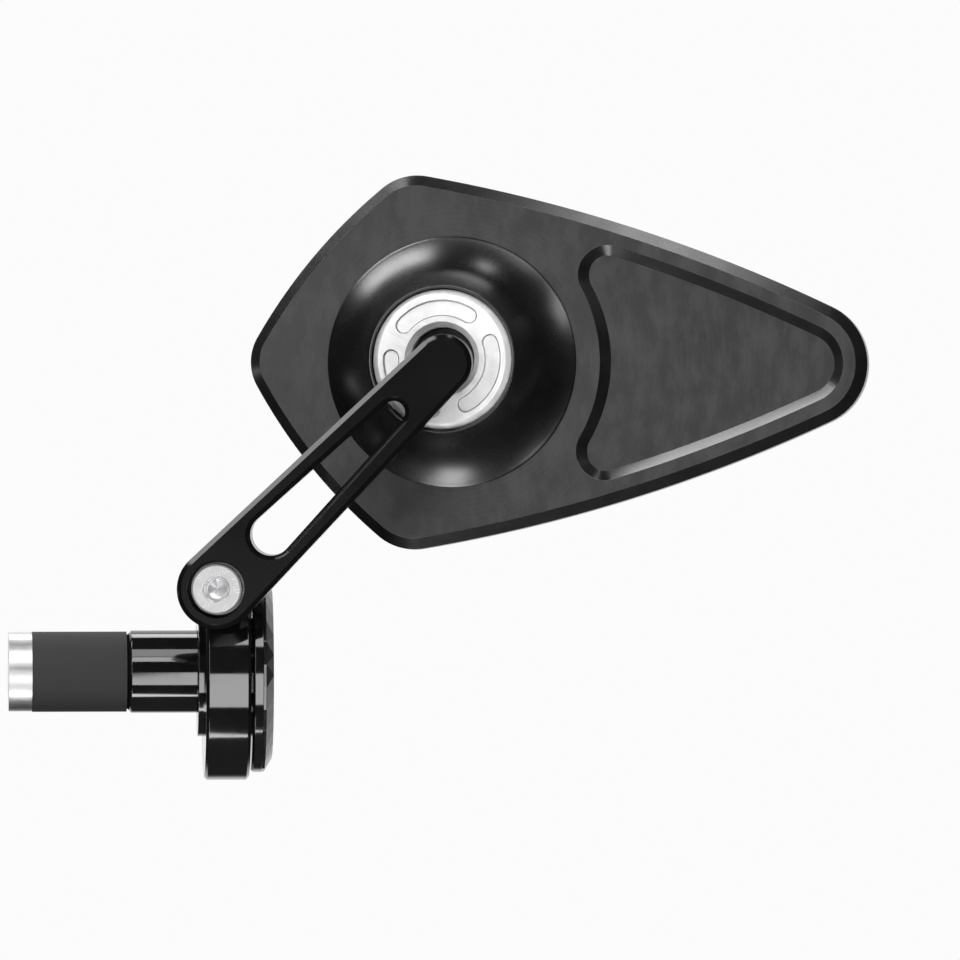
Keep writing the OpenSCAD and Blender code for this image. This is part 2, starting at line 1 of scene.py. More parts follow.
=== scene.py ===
"""Detail, finishes and studio for a bar-end mirror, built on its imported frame."""

from __future__ import annotations

import logging
import math
from dataclasses import dataclass, field
from enum import Enum

import bpy
import numpy as np
from mathutils import Matrix, Vector


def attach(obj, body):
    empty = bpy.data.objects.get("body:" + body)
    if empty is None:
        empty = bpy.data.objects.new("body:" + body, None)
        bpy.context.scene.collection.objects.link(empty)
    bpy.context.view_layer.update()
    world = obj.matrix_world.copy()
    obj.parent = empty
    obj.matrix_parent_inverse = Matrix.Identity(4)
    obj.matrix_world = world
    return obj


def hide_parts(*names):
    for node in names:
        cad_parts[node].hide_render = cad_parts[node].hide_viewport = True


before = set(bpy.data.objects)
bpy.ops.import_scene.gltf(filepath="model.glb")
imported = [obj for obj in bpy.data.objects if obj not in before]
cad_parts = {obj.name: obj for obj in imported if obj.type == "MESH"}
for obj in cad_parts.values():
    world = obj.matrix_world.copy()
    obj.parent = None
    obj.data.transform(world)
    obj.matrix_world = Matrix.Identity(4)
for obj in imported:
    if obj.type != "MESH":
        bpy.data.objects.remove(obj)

log = logging.getLogger("mirror")

MM = 0.001
FULL_TURN = 2 * math.pi
SAME_PLACE = 1e-4
MERGE_REACH = 0.002
Point = tuple[float, float]


def rotation(degrees: float, axis: str) -> Matrix:
    """Turn about an axis by an angle in degrees."""
    return Matrix.Rotation(math.radians(degrees), 4, axis)


def tint(grey: float, blue: float | None = None) -> tuple[float, float, float]:
    """A grey as a colour, with its blue part given where it differs."""
    return (grey, grey, grey if blue is None else blue)


# Shader maths


class Value:
    """A shader socket that takes part in Python expressions."""

    def __init__(self, sheet: "NodeSheet", socket: bpy.types.NodeSocket) -> None:
        """Wraps one output socket of a node sheet."""
        self.sheet = sheet
        self.socket = socket

    def _math(self, operation: str, first: object, second: object = None) -> "Value":
        """Result of one Math node, fed with one or two values or numbers."""
        inputs = {0: first} if second is None else {0: first, 1: second}
        return self.sheet.node("ShaderNodeMath", {"operation": operation}, inputs)

    def __add__(self, other: object) -> "Value":
        """Sum of this value and another."""
        return self._math("ADD", self, other)

    def __radd__(self, other: object) -> "Value":
        """Sum of a number and this value."""
        return self._math("ADD", other, self)

    def __sub__(self, other: object) -> "Value":
        """This value less another."""
        return self._math("SUBTRACT", self, other)

    def __rsub__(self, other: object) -> "Value":
        """A number less this value."""
        return self._math("SUBTRACT", other, self)

    def __mul__(self, other: object) -> "Value":
        """Product of this value and another."""
        return self._math("MULTIPLY", self, other)

    def __rmul__(self, other: object) -> "Value":
        """Product of a number and this value."""
        return self._math("MULTIPLY", other, self)

    def __truediv__(self, other: object) -> "Value":
        """This value over another."""
        return self._math("DIVIDE", self, other)

    def wave(self) -> "Value":
        """Sine of this value in radians, brought between 0 and 1."""
        return self._math("SINE", self) * 0.5 + 0.5

    def turn_from(self, other: "Value") -> "Value":
        """The angle whose tangent is this value over another."""
        return self._math("ARCTAN2", self, other)

    def root(self) -> "Value":
        """Square root of this value."""
        return self._math("SQRT", self)

    def between(self, low: float, high: float) -> "Value":
        """How far this value is from low to high, eased and held within 0 and 1."""
        inputs = {"Value": self, "From Min": low, "From Max": high}
        return self.sheet.node("ShaderNodeMapRange", {"interpolation_type": "SMOOTHSTEP"}, inputs)


class NodeSheet:
    """The node tree of a material or world, with one method that adds any node."""

    def __init__(self, owner: bpy.types.Material | bpy.types.World) -> None:
        """Empties the owner's tree and keeps it."""
        owner.use_nodes = True
        self.tree = owner.node_tree
        self.tree.nodes.clear()

    def node(
        self, kind: str, settings: dict[str, object], inputs: dict[object, object], output: object = 0
    ) -> Value:
        """Adds a node.

        Args:
            kind: the node's type name.
            settings: properties set before its sockets.
            inputs: numbers, tuples or values for its sockets, by name or index.
            output: the name or index of the socket that is returned.

        Returns:
            The chosen output.
        """
        made = self.tree.nodes.new(kind)
        for key, setting in settings.items():
            setattr(made, key, setting)
        for key, given in inputs.items():
            if isinstance(given, Value):
                self.tree.links.new(given.socket, made.inputs[key])
            else:
                made.inputs[key].default_value = given
        return Value(self, made.outputs[output] if len(made.outputs) else None)

    def place_in(self, local: Matrix) -> Value:
        """Object coordinates in millimetres, turned into a piece's own frame.

        Args:
            local: the piece's own frame in the row frame, in metres.

        Returns:
            The coordinates as a vector.
        """
        turn = local.to_3x3().normalized().transposed()
        shift = -(turn @ local.to_translation()) / MM
        inputs = {"Location": tuple(shift), "Rotation": tuple(turn.to_euler()), "Scale": (1 / MM,) * 3}
        inputs["Vector"] = self.node("ShaderNodeTexCoord", {}, {}, "Object")
        return self.node("ShaderNodeMapping", {}, inputs)

    def axes(self, place: Value) -> tuple[Value, Value, Value]:
        """The x, y and z of a place."""
        split = self.node("ShaderNodeSeparateXYZ", {}, {0: place})
        return tuple(Value(self, split.socket.node.outputs[i]) for i in range(3))

    def radius(self, place: Value) -> Value:
        """How far a place lies from the upright axis."""
        x, y, _ = self.axes(place)
        return (x * x + y * y).root()

    def noise(self, place: Value, scale: float, detail: float = 3.0, rough: float = 0.55) -> Value:
        """Smooth noise about 0.5.

        Args:
            place: where it is read.
            scale: how many humps there are per unit.
            detail: how many finer layers are added.
            rough: the strength of each finer layer.

        Returns:
            The noise, from 0 to 1.
        """
        inputs = {"Vector": place, "Scale": scale, "Detail": detail, "Roughness": rough}
        return self.node("ShaderNodeTexNoise", {}, inputs, "Fac")

    def stretched(self, place: Value, factors: tuple[float, float, float]) -> Value:
        """A place with its x, y and z multiplied."""
        return self.node("ShaderNodeVectorMath", {"operation": "MULTIPLY"}, {0: place, 1: factors})

    def blended(self, share: Value, low: tuple[float, ...], high: tuple[float, ...]) -> Value:
        """Two colours mixed, where a share of 1 gives the second."""
        inputs = {0: share, 6: (*low, 1.0), 7: (*high, 1.0)}
        return self.node("ShaderNodeMix", {"data_type": "RGBA"}, inputs, 2)

    def rounded(self, radius: float) -> Value:
        """Normal of a surface whose edges look rounded by a radius in millimetres."""
        return self.node("ShaderNodeBevel", {"samples": 6}, {"Radius": radius * MM})

    def bumped(self, height: Value, depth: float, normal: Value | None = None) -> Value:
        """Normal of a surface raised by a height.

        Args:
            height: the height, from 0 to 1.
            depth: the height of 1, in millimetres.
            normal: the normal that it starts from.

        Returns:
            The new normal.
        """
        inputs = {"Height": height, "Distance": depth * MM, "Strength": 1.0}
        if normal is not None:
            inputs["Normal"] = normal
        return self.node("ShaderNodeBump", {}, inputs)

    def surface(self, **sockets: object) -> None:
        """Ends the tree with a Principled shader.

        Args:
            sockets: its sockets, with an underscore for each space.
        """
        inputs = {}
        for key, given in sockets.items():
            colour = isinstance(given, tuple) and len(given) == 3 and key.endswith("Color")
            inputs[key.replace("_", " ")] = (*given, 1.0) if colour else given
        shader = self.node("ShaderNodeBsdfPrincipled", {}, inputs)
        self.node("ShaderNodeOutputMaterial", {}, {"Surface": shader})


# Finishes


class Slot(Enum):
    """Material slots of the record."""

    BLACK = "black_metal"
    SATIN = "satin_black_metal"
    RING = "ring_aluminium"
    PLAIN = "plain_aluminium"
    SCREW = "screw_steel"
    DARK_STEEL = "black_steel"
    DARK_PLASTIC = "dark_plastic"
    RUBBER = "seal_rubber"
    ADHESIVE = "adhesive"
    GLASS = "mirror_glass"


@dataclass(frozen=True)
class Finish:
    """A finish with a name, a slot of the record and the frame that its pattern follows."""

    name: str
    slot: Slot
    local: Matrix = field(default_factory=Matrix)

    def material(self) -> bpy.types.Material:
        """Makes the finish's material, or finds it where it is made already.

        Returns:
            The material.
        """
        known = bpy.data.materials.get(self.name)
        if known is not None:
            return known
        made = bpy.data.materials.new(self.name)
        self.paint(NodeSheet(made))
        return made

    def paint(self, sheet: NodeSheet) -> None:
        """Builds the finish's nodes."""
        raise NotImplementedError


@dataclass(frozen=True)
class MilledBlack(Finish):
    """Black anodised plate with the faint rings of a face mill."""

    tone: float = 0.023
    rough: float = 0.40

    def paint(self, sheet: NodeSheet) -> None:
        """Builds rings about the hub, a mottled tone and fine scratches."""
        place = sheet.place_in(self.local)
        radius = sheet.radius(place)
        drift = sheet.noise(place, 0.09, 3.0)
        rings = (radius * 7.0 + drift * 9.0).wave()
        fine = (radius * 21.0 + drift * 5.0).wave()
        near = (1.0 - (radius - 23.0) / 6.0).between(0.0, 1.0)
        mottle = sheet.noise(sheet.stretched(place, (1.0, 0.45, 1.0)), 0.35, 5.0, 0.62)
        cloud = sheet.noise(place, 0.05, 2.0)
        grain = sheet.noise(place, 4.0, 3.0)
        share = mottle.between(0.36, 0.66) * 0.45 + cloud.between(0.3, 0.7) * 0.15
        share = share + rings * (near * 0.05 + 0.06) + fine * (near * 0.08 + 0.05) + grain * 0.3
        low = tint(self.tone * 0.42, self.tone * 0.43)
        high = tint(self.tone * 1.60, self.tone * 1.61)
        height = fine * 0.35 + rings * 0.15 + grain * 0.5
        normal = sheet.bumped(height, 0.0035, sheet.rounded(0.10))
        sheet.surface(
            Base_Color=sheet.blended(share, low, high),
            Roughness=share * 0.12 + (self.rough - 0.06),
            Metallic=0.0,
            Specular_IOR_Level=0.5,
            Normal=normal,
        )


@dataclass(frozen=True)
class GlossBlack(Finish):
    """Polished black anodising with a faint turned grain."""

    tone: float = 0.004
    rough: float = 0.1
    edge: float = 0.12
    about: str = "Z"

    def paint(self, sheet: NodeSheet) -> None:
        """Builds a near-black gloss with fine turned lines and a little dust."""
        place = sheet.place_in(self.local)
        x, _, z = sheet.axes(place)
        along = {"X": x, "Z": z}[self.about]
        cloud = sheet.noise(place, 0.16, 3.0)
        lines = (along * 40.0 + cloud * 2.0).wave()
        specks = sheet.noise(place, 9.0, 2.0)
        share = cloud.between(0.3, 0.7) * 0.6 + specks * 0.4
        low = tint(self.tone * 0.7)
        high = tint(self.tone * 1.5, self.tone * 1.6)
        normal = sheet.bumped(lines * 0.5 + specks * 0.5, 0.0004, sheet.rounded(self.edge))
        sheet.surface(
            Base_Color=sheet.blended(share, low, high),
            Roughness=share * 0.05 + (self.rough - 0.02),
            Metallic=0.0,
            Specular_IOR_Level=1.0,
            Normal=normal,
        )


@dataclass(frozen=True)
class SatinBlack(Finish):
    """Fine satin black anodising with a shot surface."""

    tone: float = 0.004
    rough: float = 0.19
    grain: float = 6.0

    def paint(self, sheet: NodeSheet) -> None:
        """Builds a fine even grain with slow changes of tone."""
        place = sheet.place_in(self.local)
        cloud = sheet.noise(place, 0.12, 3.0)
        grain = sheet.noise(place, self.grain, 4.0, 0.6)
        share = cloud * 0.55 + grain * 0.45
        low = tint(self.tone * 0.65)
        high = tint(self.tone * 1.4, self.tone * 1.45)
        normal = sheet.bumped(grain, 0.0015)
        sheet.surface(
            Base_Color=sheet.blended(share, low, high),
            Roughness=share * 0.14 + (self.rough - 0.07),
            Metallic=0.0,
            Specular_IOR_Level=0.32,
            Normal=normal,
        )


@dataclass(frozen=True)
class BlastedAluminium(Finish):
    """Pale aluminium, blasted to an even satin with small marks."""

    tone: float = 0.84
    rough: float = 0.42

    def paint(self, sheet: NodeSheet) -> None:
        """Builds a pale metal with blotches, fine turned lines and pits."""
        place = sheet.place_in(self.local)
        radius = sheet.radius(place)
        blotch = sheet.noise(place, 0.5, 4.0, 0.6)
        grain = sheet.noise(place, 5.0, 4.0, 0.65)
        turned = (radius * 24.0 + blotch * 5.0).wave()
        share = blotch.between(0.25, 0.75) * 0.5 + grain * 0.35 + turned * 0.15
        low = tint(self.tone * 0.86)
        high = tint(min(1.0, self.tone * 1.10))
        normal = sheet.bumped(grain * 0.7 + turned * 0.3, 0.004, sheet.rounded(0.08))
        sheet.surface(
            Base_Color=sheet.blended(share, low, high),
            Roughness=share * 0.14 + (self.rough - 0.07),
            Metallic=0.4,
            Normal=normal,
        )


@dataclass(frozen=True)
class TurnedSteel(Finish):
    """Bright steel with the fine lines of a lathe."""

    tone: float = 0.66
    rough: float = 0.24
    metal: float = 1.0
    spokes: float = 46.0

    def paint(self, sheet: NodeSheet) -> None:
        """Builds a bright metal with turned rings and soft stains."""
        place = sheet.place_in(self.local)
        x, y, _ = sheet.axes(place)
        radius = sheet.radius(place)
        stain = sheet.noise(place, 0.7, 4.0)
        turned = (radius * 34.0).wave()
        grain = sheet.noise(place, 7.0, 3.0)
        spokes = (y.turn_from(x) * self.spokes + stain * 3.0).wave()
        share = stain.between(0.25, 0.75) * 0.2 + turned * 0.2 + grain * 0.45 + spokes * 0.15
        low = tint(self.tone * 0.74, self.tone * 0.75)
        high = tint(self.tone * 1.15, self.tone * 1.16)
        normal = sheet.bumped(turned * 0.3 + grain * 0.4 + spokes * 0.3, 0.004, sheet.rounded(0.10))
        sheet.surface(
            Base_Color=sheet.blended(share, low, high),
            Roughness=share * 0.16 + (self.rough - 0.08),
            Metallic=self.metal,
            Normal=normal,
        )


@dataclass(frozen=True)
class Moulded(Finish):
    """Moulded rubber or plastic with a fine grain."""

    tone: tuple[float, float, float] = (0.02, 0.02, 0.02)
    rough: float = 0.7

    def paint(self, sheet: NodeSheet) -> None:
        """Builds a dull surface with clouds and a fine grain."""
        place = sheet.place_in(self.local)
        cloud = sheet.noise(place, 0.25, 3.0)
        grain = sheet.noise(place, 5.0, 4.0)
        share = cloud * 0.6 + grain * 0.4
        low = tuple(part * 0.7 for part in self.tone)
        high = tuple(min(1.0, part * 1.3) for part in self.tone)
        normal = sheet.bumped(grain, 0.008, sheet.rounded(0.12))
        sheet.surface(
            Base_Color=sheet.blended(share, low, high),
            Roughness=share * 0.2 + (self.rough - 0.1),
            Normal=normal,
        )


@dataclass(frozen=True)
class SilveredGlass(Finish):
    """Silvered convex glass with a trace of haze."""

    tone: tuple[float, float, float] = (0.80, 0.84, 0.87)

    def paint(self, sheet: NodeSheet) -> None:
        """Builds a clear mirror whose haze comes and goes."""
        place = sheet.place_in(self.local)
        haze = sheet.noise(place, 0.05, 4.0)
        dust = sheet.noise(place, 1.5, 4.0, 0.7)
        share = haze.between(0.35, 0.75) * 0.7 + dust.between(0.5, 0.8) * 0.3
        high = tuple(part * 0.97 for part in self.tone)
        sheet.surface(
            Base_Color=sheet.blended(share, self.tone, high),
            Roughness=share * 0.02 + 0.012,
            Metallic=1.0,
            Normal=sheet.rounded(0.1),
        )


GLOSS = GlossBlack("gloss_black", Slot.BLACK, Matrix(), 0.004, 0.07, 0.15, "X")


# Modelling


@dataclass(frozen=True)
class Arc:
    """An arc in millimetres and radians, counter-clockwise where its end is the larger angle."""

    mid: Point
    radius: float
    start: float
    end: float
    steps: int

    def at(self, angle: float) -> Vector:
        """The arc's point at an angle."""
        way = Vector((math.cos(angle), math.sin(angle), 0.0))
        return Vector((*self.mid, 0.0)) + way * self.radius


class Workpiece:
    """A mesh shaped with edit-mode tools in millimetres, in its own frame, and then put in its place."""

    def __init__(self, name: str) -> None:
        """Starts an empty mesh object with a name."""
        bpy.ops.object.select_all(action="DESELECT")
        bpy.ops.mesh.primitive_plane_add(size=1.0)
        self.obj = bpy.context.object
        self.obj.name = name
        self.obj.data.name = name
        bpy.ops.object.mode_set(mode="EDIT")
        bpy.ops.mesh.select_mode(type="VERT")
        bpy.ops.mesh.select_all(action="SELECT")
        bpy.ops.mesh.delete(type="VERT")
        bpy.ops.object.mode_set(mode="OBJECT")

    def _edit(self) -> None:
        """Opens this piece alone in edit mode, with nothing of it selected."""
        if bpy.context.object and bpy.context.object.mode != "OBJECT":
            bpy.ops.object.mode_set(mode="OBJECT")
        bpy.ops.object.select_all(action="DESELECT")
        bpy.context.view_layer.objects.active = self.obj
        self.obj.select_set(True)
        bpy.ops.object.mode_set(mode="EDIT")
        bpy.ops.mesh.select_mode(type="VERT")
        bpy.ops.mesh.select_all(action="DESELECT")

    def close(self) -> None:
        """Leaves edit mode."""
        bpy.ops.object.mode_set(mode="OBJECT")

    def pick(self, *loops: range) -> None:
        """Selects the points of some loops and stays in edit mode.

        Args:
            loops: ranges of point numbers.
        """
        self._edit()
        self.close()
        chosen = np.zeros(len(self.obj.data.vertices), dtype=bool)
        for loop in loops:
            chosen[loop.start : loop.stop] = True
        self.obj.data.vertices.foreach_set("select", chosen)
        bpy.ops.object.mode_set(mode="EDIT")

    def outline(self, arcs: list[Arc], height: float) -> range:
        """Draws a closed loop by spinning one point through arcs.

        Args:
            arcs: the arcs in order; a straight edge joins any that don't meet.
            height: the loop's height.

        Returns:
            The loop's point numbers.
        """
        first = len(self.obj.data.vertices)
        lift = Vector((0.0, 0.0, height))
        here = arcs[0].at(arcs[0].start)
        self._edit()
        bpy.ops.mesh.primitive_circle_add(vertices=3, radius=0.5, location=here + lift)
        bpy.ops.mesh.merge(type="CENTER")
        for arc in arcs:
            begin = arc.at(arc.start)
            if (begin - here).length > SAME_PLACE:
                bpy.ops.mesh.extrude_vertices_move(TRANSFORM_OT_translate={"value": begin - here})
            bpy.ops.mesh.spin(
                steps=arc.steps,
                angle=arc.start - arc.end,
                center=(arc.mid[0], arc.mid[1], height),
                axis=(0.0, 0.0, 1.0),
            )
            here = arc.at(arc.end)
        start = arcs[0].at(arcs[0].start)
        if (start - here).length > SAME_PLACE:
            bpy.ops.mesh.extrude_vertices_move(TRANSFORM_OT_translate={"value": start - here})
        self.close()
        self.pick(range(first, len(self.obj.data.vertices)))
        bpy.ops.mesh.remove_doubles(threshold=MERGE_REACH)
        self.close()
        return range(first, len(self.obj.data.vertices))

    def circle(
        self, radius: float, height: float, points: int = 128, middle: Point = (0.0, 0.0)
    ) -> range:
        """Draws a circle.

        Args:
            radius: the circle's radius.
            height: its height.
            points: how many points it has.
            middle: its middle.

        Returns:
            The loop's point numbers.
        """
        first = len(self.obj.data.vertices)
        self._edit()
        bpy.ops.mesh.primitive_circle_add(vertices=points, radius=radius, location=(*middle, height))
        self.close()
        return range(first, len(self.obj.data.vertices))

    def bridge(self, *loops: range) -> None:
        """Joins each loop to the next with a band of faces.

        Args:
            loops: the loops in order.
        """
        for low, high in zip(loops, loops[1:]):
            self.pick(low, high)
            bpy.ops.mesh.bridge_edge_loops()
            self.close()

    def cap(self, loop: range) -> None:
        """Closes one loop with a flat face."""
        self.pick(loop)
        bpy.ops.mesh.edge_face_add()
        self.close()

    def fill(self, *loops: range) -> None:
        """Fills the flat region between an outer loop and the loops inside it."""
        self.pick(*loops)
        bpy.ops.mesh.fill(use_beauty=True)
        self.close()

    def stack(self, *loops: range) -> "Workpiece":
        """Joins loops into a closed body with a flat face at each end.

        Args:
            loops: the loops in order.

        Returns:
            This piece.
        """
        self.bridge(*loops)
        self.cap(loops[0])
        self.cap(loops[-1])
        return self.tidy()

    def turned(self, profile: list[Point], points: int = 128, closed: bool = False) -> "Workpiece":
        """Turns a profile about the upright axis.

        Args:
            profile: radius and height of each ring.
            points: how many points each ring has.
            closed: whether the last ring joins the first, rather than both being capped.

        Returns:
            This piece.
        """
        loops = [self.circle(radius, height, points) for radius, height in profile]
        if not closed:
            return self.stack(*loops)
        self.bridge(*loops, loops[0])
        return self.tidy()

    def tidy(self) -> "Workpiece":
        """Makes every face point outwards."""
        self._edit()
        bpy.ops.mesh.select_all(action="SELECT")
        bpy.ops.mesh.normals_make_consistent(inside=False)
        self.close()
        return self

    def _modify(self, kind: str, **settings: object) -> None:
        """Adds a modifier and applies it.

        Args:
            kind: the modifier's type.
            settings: its properties.
        """
        bpy.ops.object.select_all(action="DESELECT")
        bpy.context.view_layer.objects.active = self.obj
        self.obj.select_set(True)
        bpy.ops.object.modifier_add(type=kind)
        made = self.obj.modifiers[-1]
        for key, setting in settings.items():
            setattr(made, key, setting)
        bpy.ops.object.modifier_apply(modifier=made.name)

    def combine(self, tool: "Workpiece", operation: str = "DIFFERENCE") -> "Workpiece":
        """Cuts this piece with another, or joins them, and deletes the other.

        Args:
            tool: the other piece, in the same frame.
            operation: DIFFERENCE, UNION or INTERSECT.

        Returns:
            This piece.
        """
        self._modify("BOOLEAN", operation=operation, object=tool.obj, solver="EXACT")
        bpy.ops.object.select_all(action="DESELECT")
        tool.obj.select_set(True)
        bpy.ops.object.delete()
        return self

    def moved(self, matrix: Matrix) -> "Workpiece":
        """Moves the mesh within its own frame.

        Args:
            matrix: the move, in millimetres.

        Returns:
            This piece.
        """
        self.pick(range(0, 0))
        self.close()
        self.obj.matrix_world = matrix
        bpy.ops.object.transform_apply(location=True, rotation=True, scale=True)
        return self

    def flattened(self) -> "Workpiece":
        """Joins the faces that lie in one plane."""
        self._modify("DECIMATE", decimate_type="DISSOLVE", angle_limit=math.radians(0.3))
        return self

    def softened(self, width: float, angle: float = 30.0, segments: int = 2) -> "Workpiece":
        """Rounds the edges that are sharper than an angle.

        Args:
            width: the rounding's width.
            angle: the least angle that is rounded, in degrees.
            segments: how many bands the rounding has.

        Returns:
            This piece.
        """
        self._modify(
            "BEVEL",
            width=width,
            segments=segments,
            limit_method="ANGLE",
            angle_limit=math.radians(angle),
            use_clamp_overlap=True,
            loop_slide=False,
            miter_outer="MITER_SHARP",
        )
        return self

    def finish(self, local: Matrix, smooth: float = 35.0) -> bpy.types.Object:
        """Shades the mesh, puts it in its place and sets it down at the origin.

        Args:
            local: the piece's own frame in the row frame, in metres.
            smooth: the greatest angle that is shaded smooth, in degrees.

        Returns:
            The finished object.
        """
        self.pick(range(0, 0))
        self.close()
        self.obj.matrix_world = local @ Matrix.Scale(MM, 4)
        bpy.ops.object.transform_apply(location=True, rotation=True, scale=True)
        bpy.ops.object.shade_smooth_by_angle(angle=math.radians(smooth))
        self._modify("WEIGHTED_NORMAL", keep_sharp=True, weight=80)
        return self.obj


@dataclass(frozen=True)
class Frames:
    """Where each sub-assembly's own frame lies in the row frame."""

    pivot: tuple[float, float, float] = (4.9, 0.0, 14.9)
    arm_yaw: float = 5.5
    arm_angle: float = 45.0
    arm_back_y: float = -18.0
    arm_length: float = 53.9
    ball_reach: float = 9.7
    head_pan: float = -5.7
    head_tilt: float = -4.1

    def at_pivot(self, unit: float = MM) -> Matrix:
        """Frame of the pivot screw, with y along it; a unit of 1 gives it in millimetres."""
        return Matrix.Translation(Vector(self.pivot) * unit) @ rotation(-self.arm_yaw, "Z")

    def in_arm(self) -> Matrix:
        """Frame of the arm: x along it from the pivot, z from its back towards its face."""
        lean = rotation(-self.arm_angle, "Y") @ rotation(90, "X")
        return self.at_pivot() @ Matrix.Translation((0.0, self.arm_back_y * MM, 0.0)) @ lean

    def at_ball(self) -> Matrix:
        """Frame of the ball, square to the arm."""
        angle = math.radians(self.arm_angle)
        along, rise = math.cos(angle) * self.arm_length, math.sin(angle) * self.arm_length
        reach = Vector((along, self.arm_back_y + self.ball_reach, rise))
        return self.at_pivot() @ Matrix.Translation(reach * MM)

    def in_head(self) -> Matrix:
        """Frame of the head: x along the blade, z from the ball towards the arm."""
        lean = rotation(self.head_pan, "Z") @ rotation(self.head_tilt, "X")
        return self.at_ball() @ lean @ rotation(90, "X")

    def on_pivot_screw(self, y: float) -> Matrix:
        """Frame that stands on the pivot screw's axis at y, with z towards the arm's face."""
        return self.at_pivot() @ Matrix.Translation((0.0, y * MM, 0.0)) @ rotation(90, "X")

    def along_bar(self) -> Matrix:
        """Frame of turned pieces on the bar: z outwards along the bar."""
        return rotation(90, "Y")


class SubAssembly:
    """Pieces that ride on one body of the frame."""

    body = ""

    def place(self, obj: bpy.types.Object, finish: Finish, *nodes: str) -> None:
        """Gives a piece its finish and its body, and hides the frame's nodes that it stands for.

        Args:
            obj: the finished mesh.
            finish: its finish.
            nodes: the frame's nodes that it stands for.
        """
        obj.data.materials.clear()
        obj.data.materials.append(finish.material())
        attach(obj, self.body)
        if nodes:
            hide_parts(*nodes)
        log.info("%s: %d faces, %s", obj.name, len(obj.data.polygons), finish.name)

    def dress(self, node: str, finish: Finish) -> None:
        """Gives a carried-over node of the frame its finish.

        Args:
            node: the node's name.
            finish: its finish.
        """
        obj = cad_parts[node]
        for slot in obj.material_slots:
            slot.material = finish.material()
        if not obj.material_slots:
            obj.data.materials.append(finish.material())
        log.info("%s: kept from the frame, %s", node, finish.name)


# The mirror head


def meet(a: Point, da: float, b: Point, db: float) -> Point:
    """Point at given distances from two points, on the left of the way between them.

    Args:
        a: the first point.
        da: the distance from it.
        b: the second point.
        db: the distance from it.

    Returns:
        The point.
    """
    way = Vector(b) - Vector(a)
    span = way.length
    unit = way / span
    run = (span * span + da * da - db * db) / (2 * span)
    side = Vector((-unit.y, unit.x)) * math.sqrt(da * da - run * run)
    found = Vector(a) + unit * run + side
    return (found.x, found.y)


def bearing(a: Point, b: Point) -> float:
    """Angle of the way from a to b, in radians."""
    return math.atan2(b[1] - a[1], b[0] - a[0])


def onward(first: float, then: float) -> float:
    """The second angle as the first one reached counter-clockwise from the first."""
    return then + FULL_TURN if then < first else then


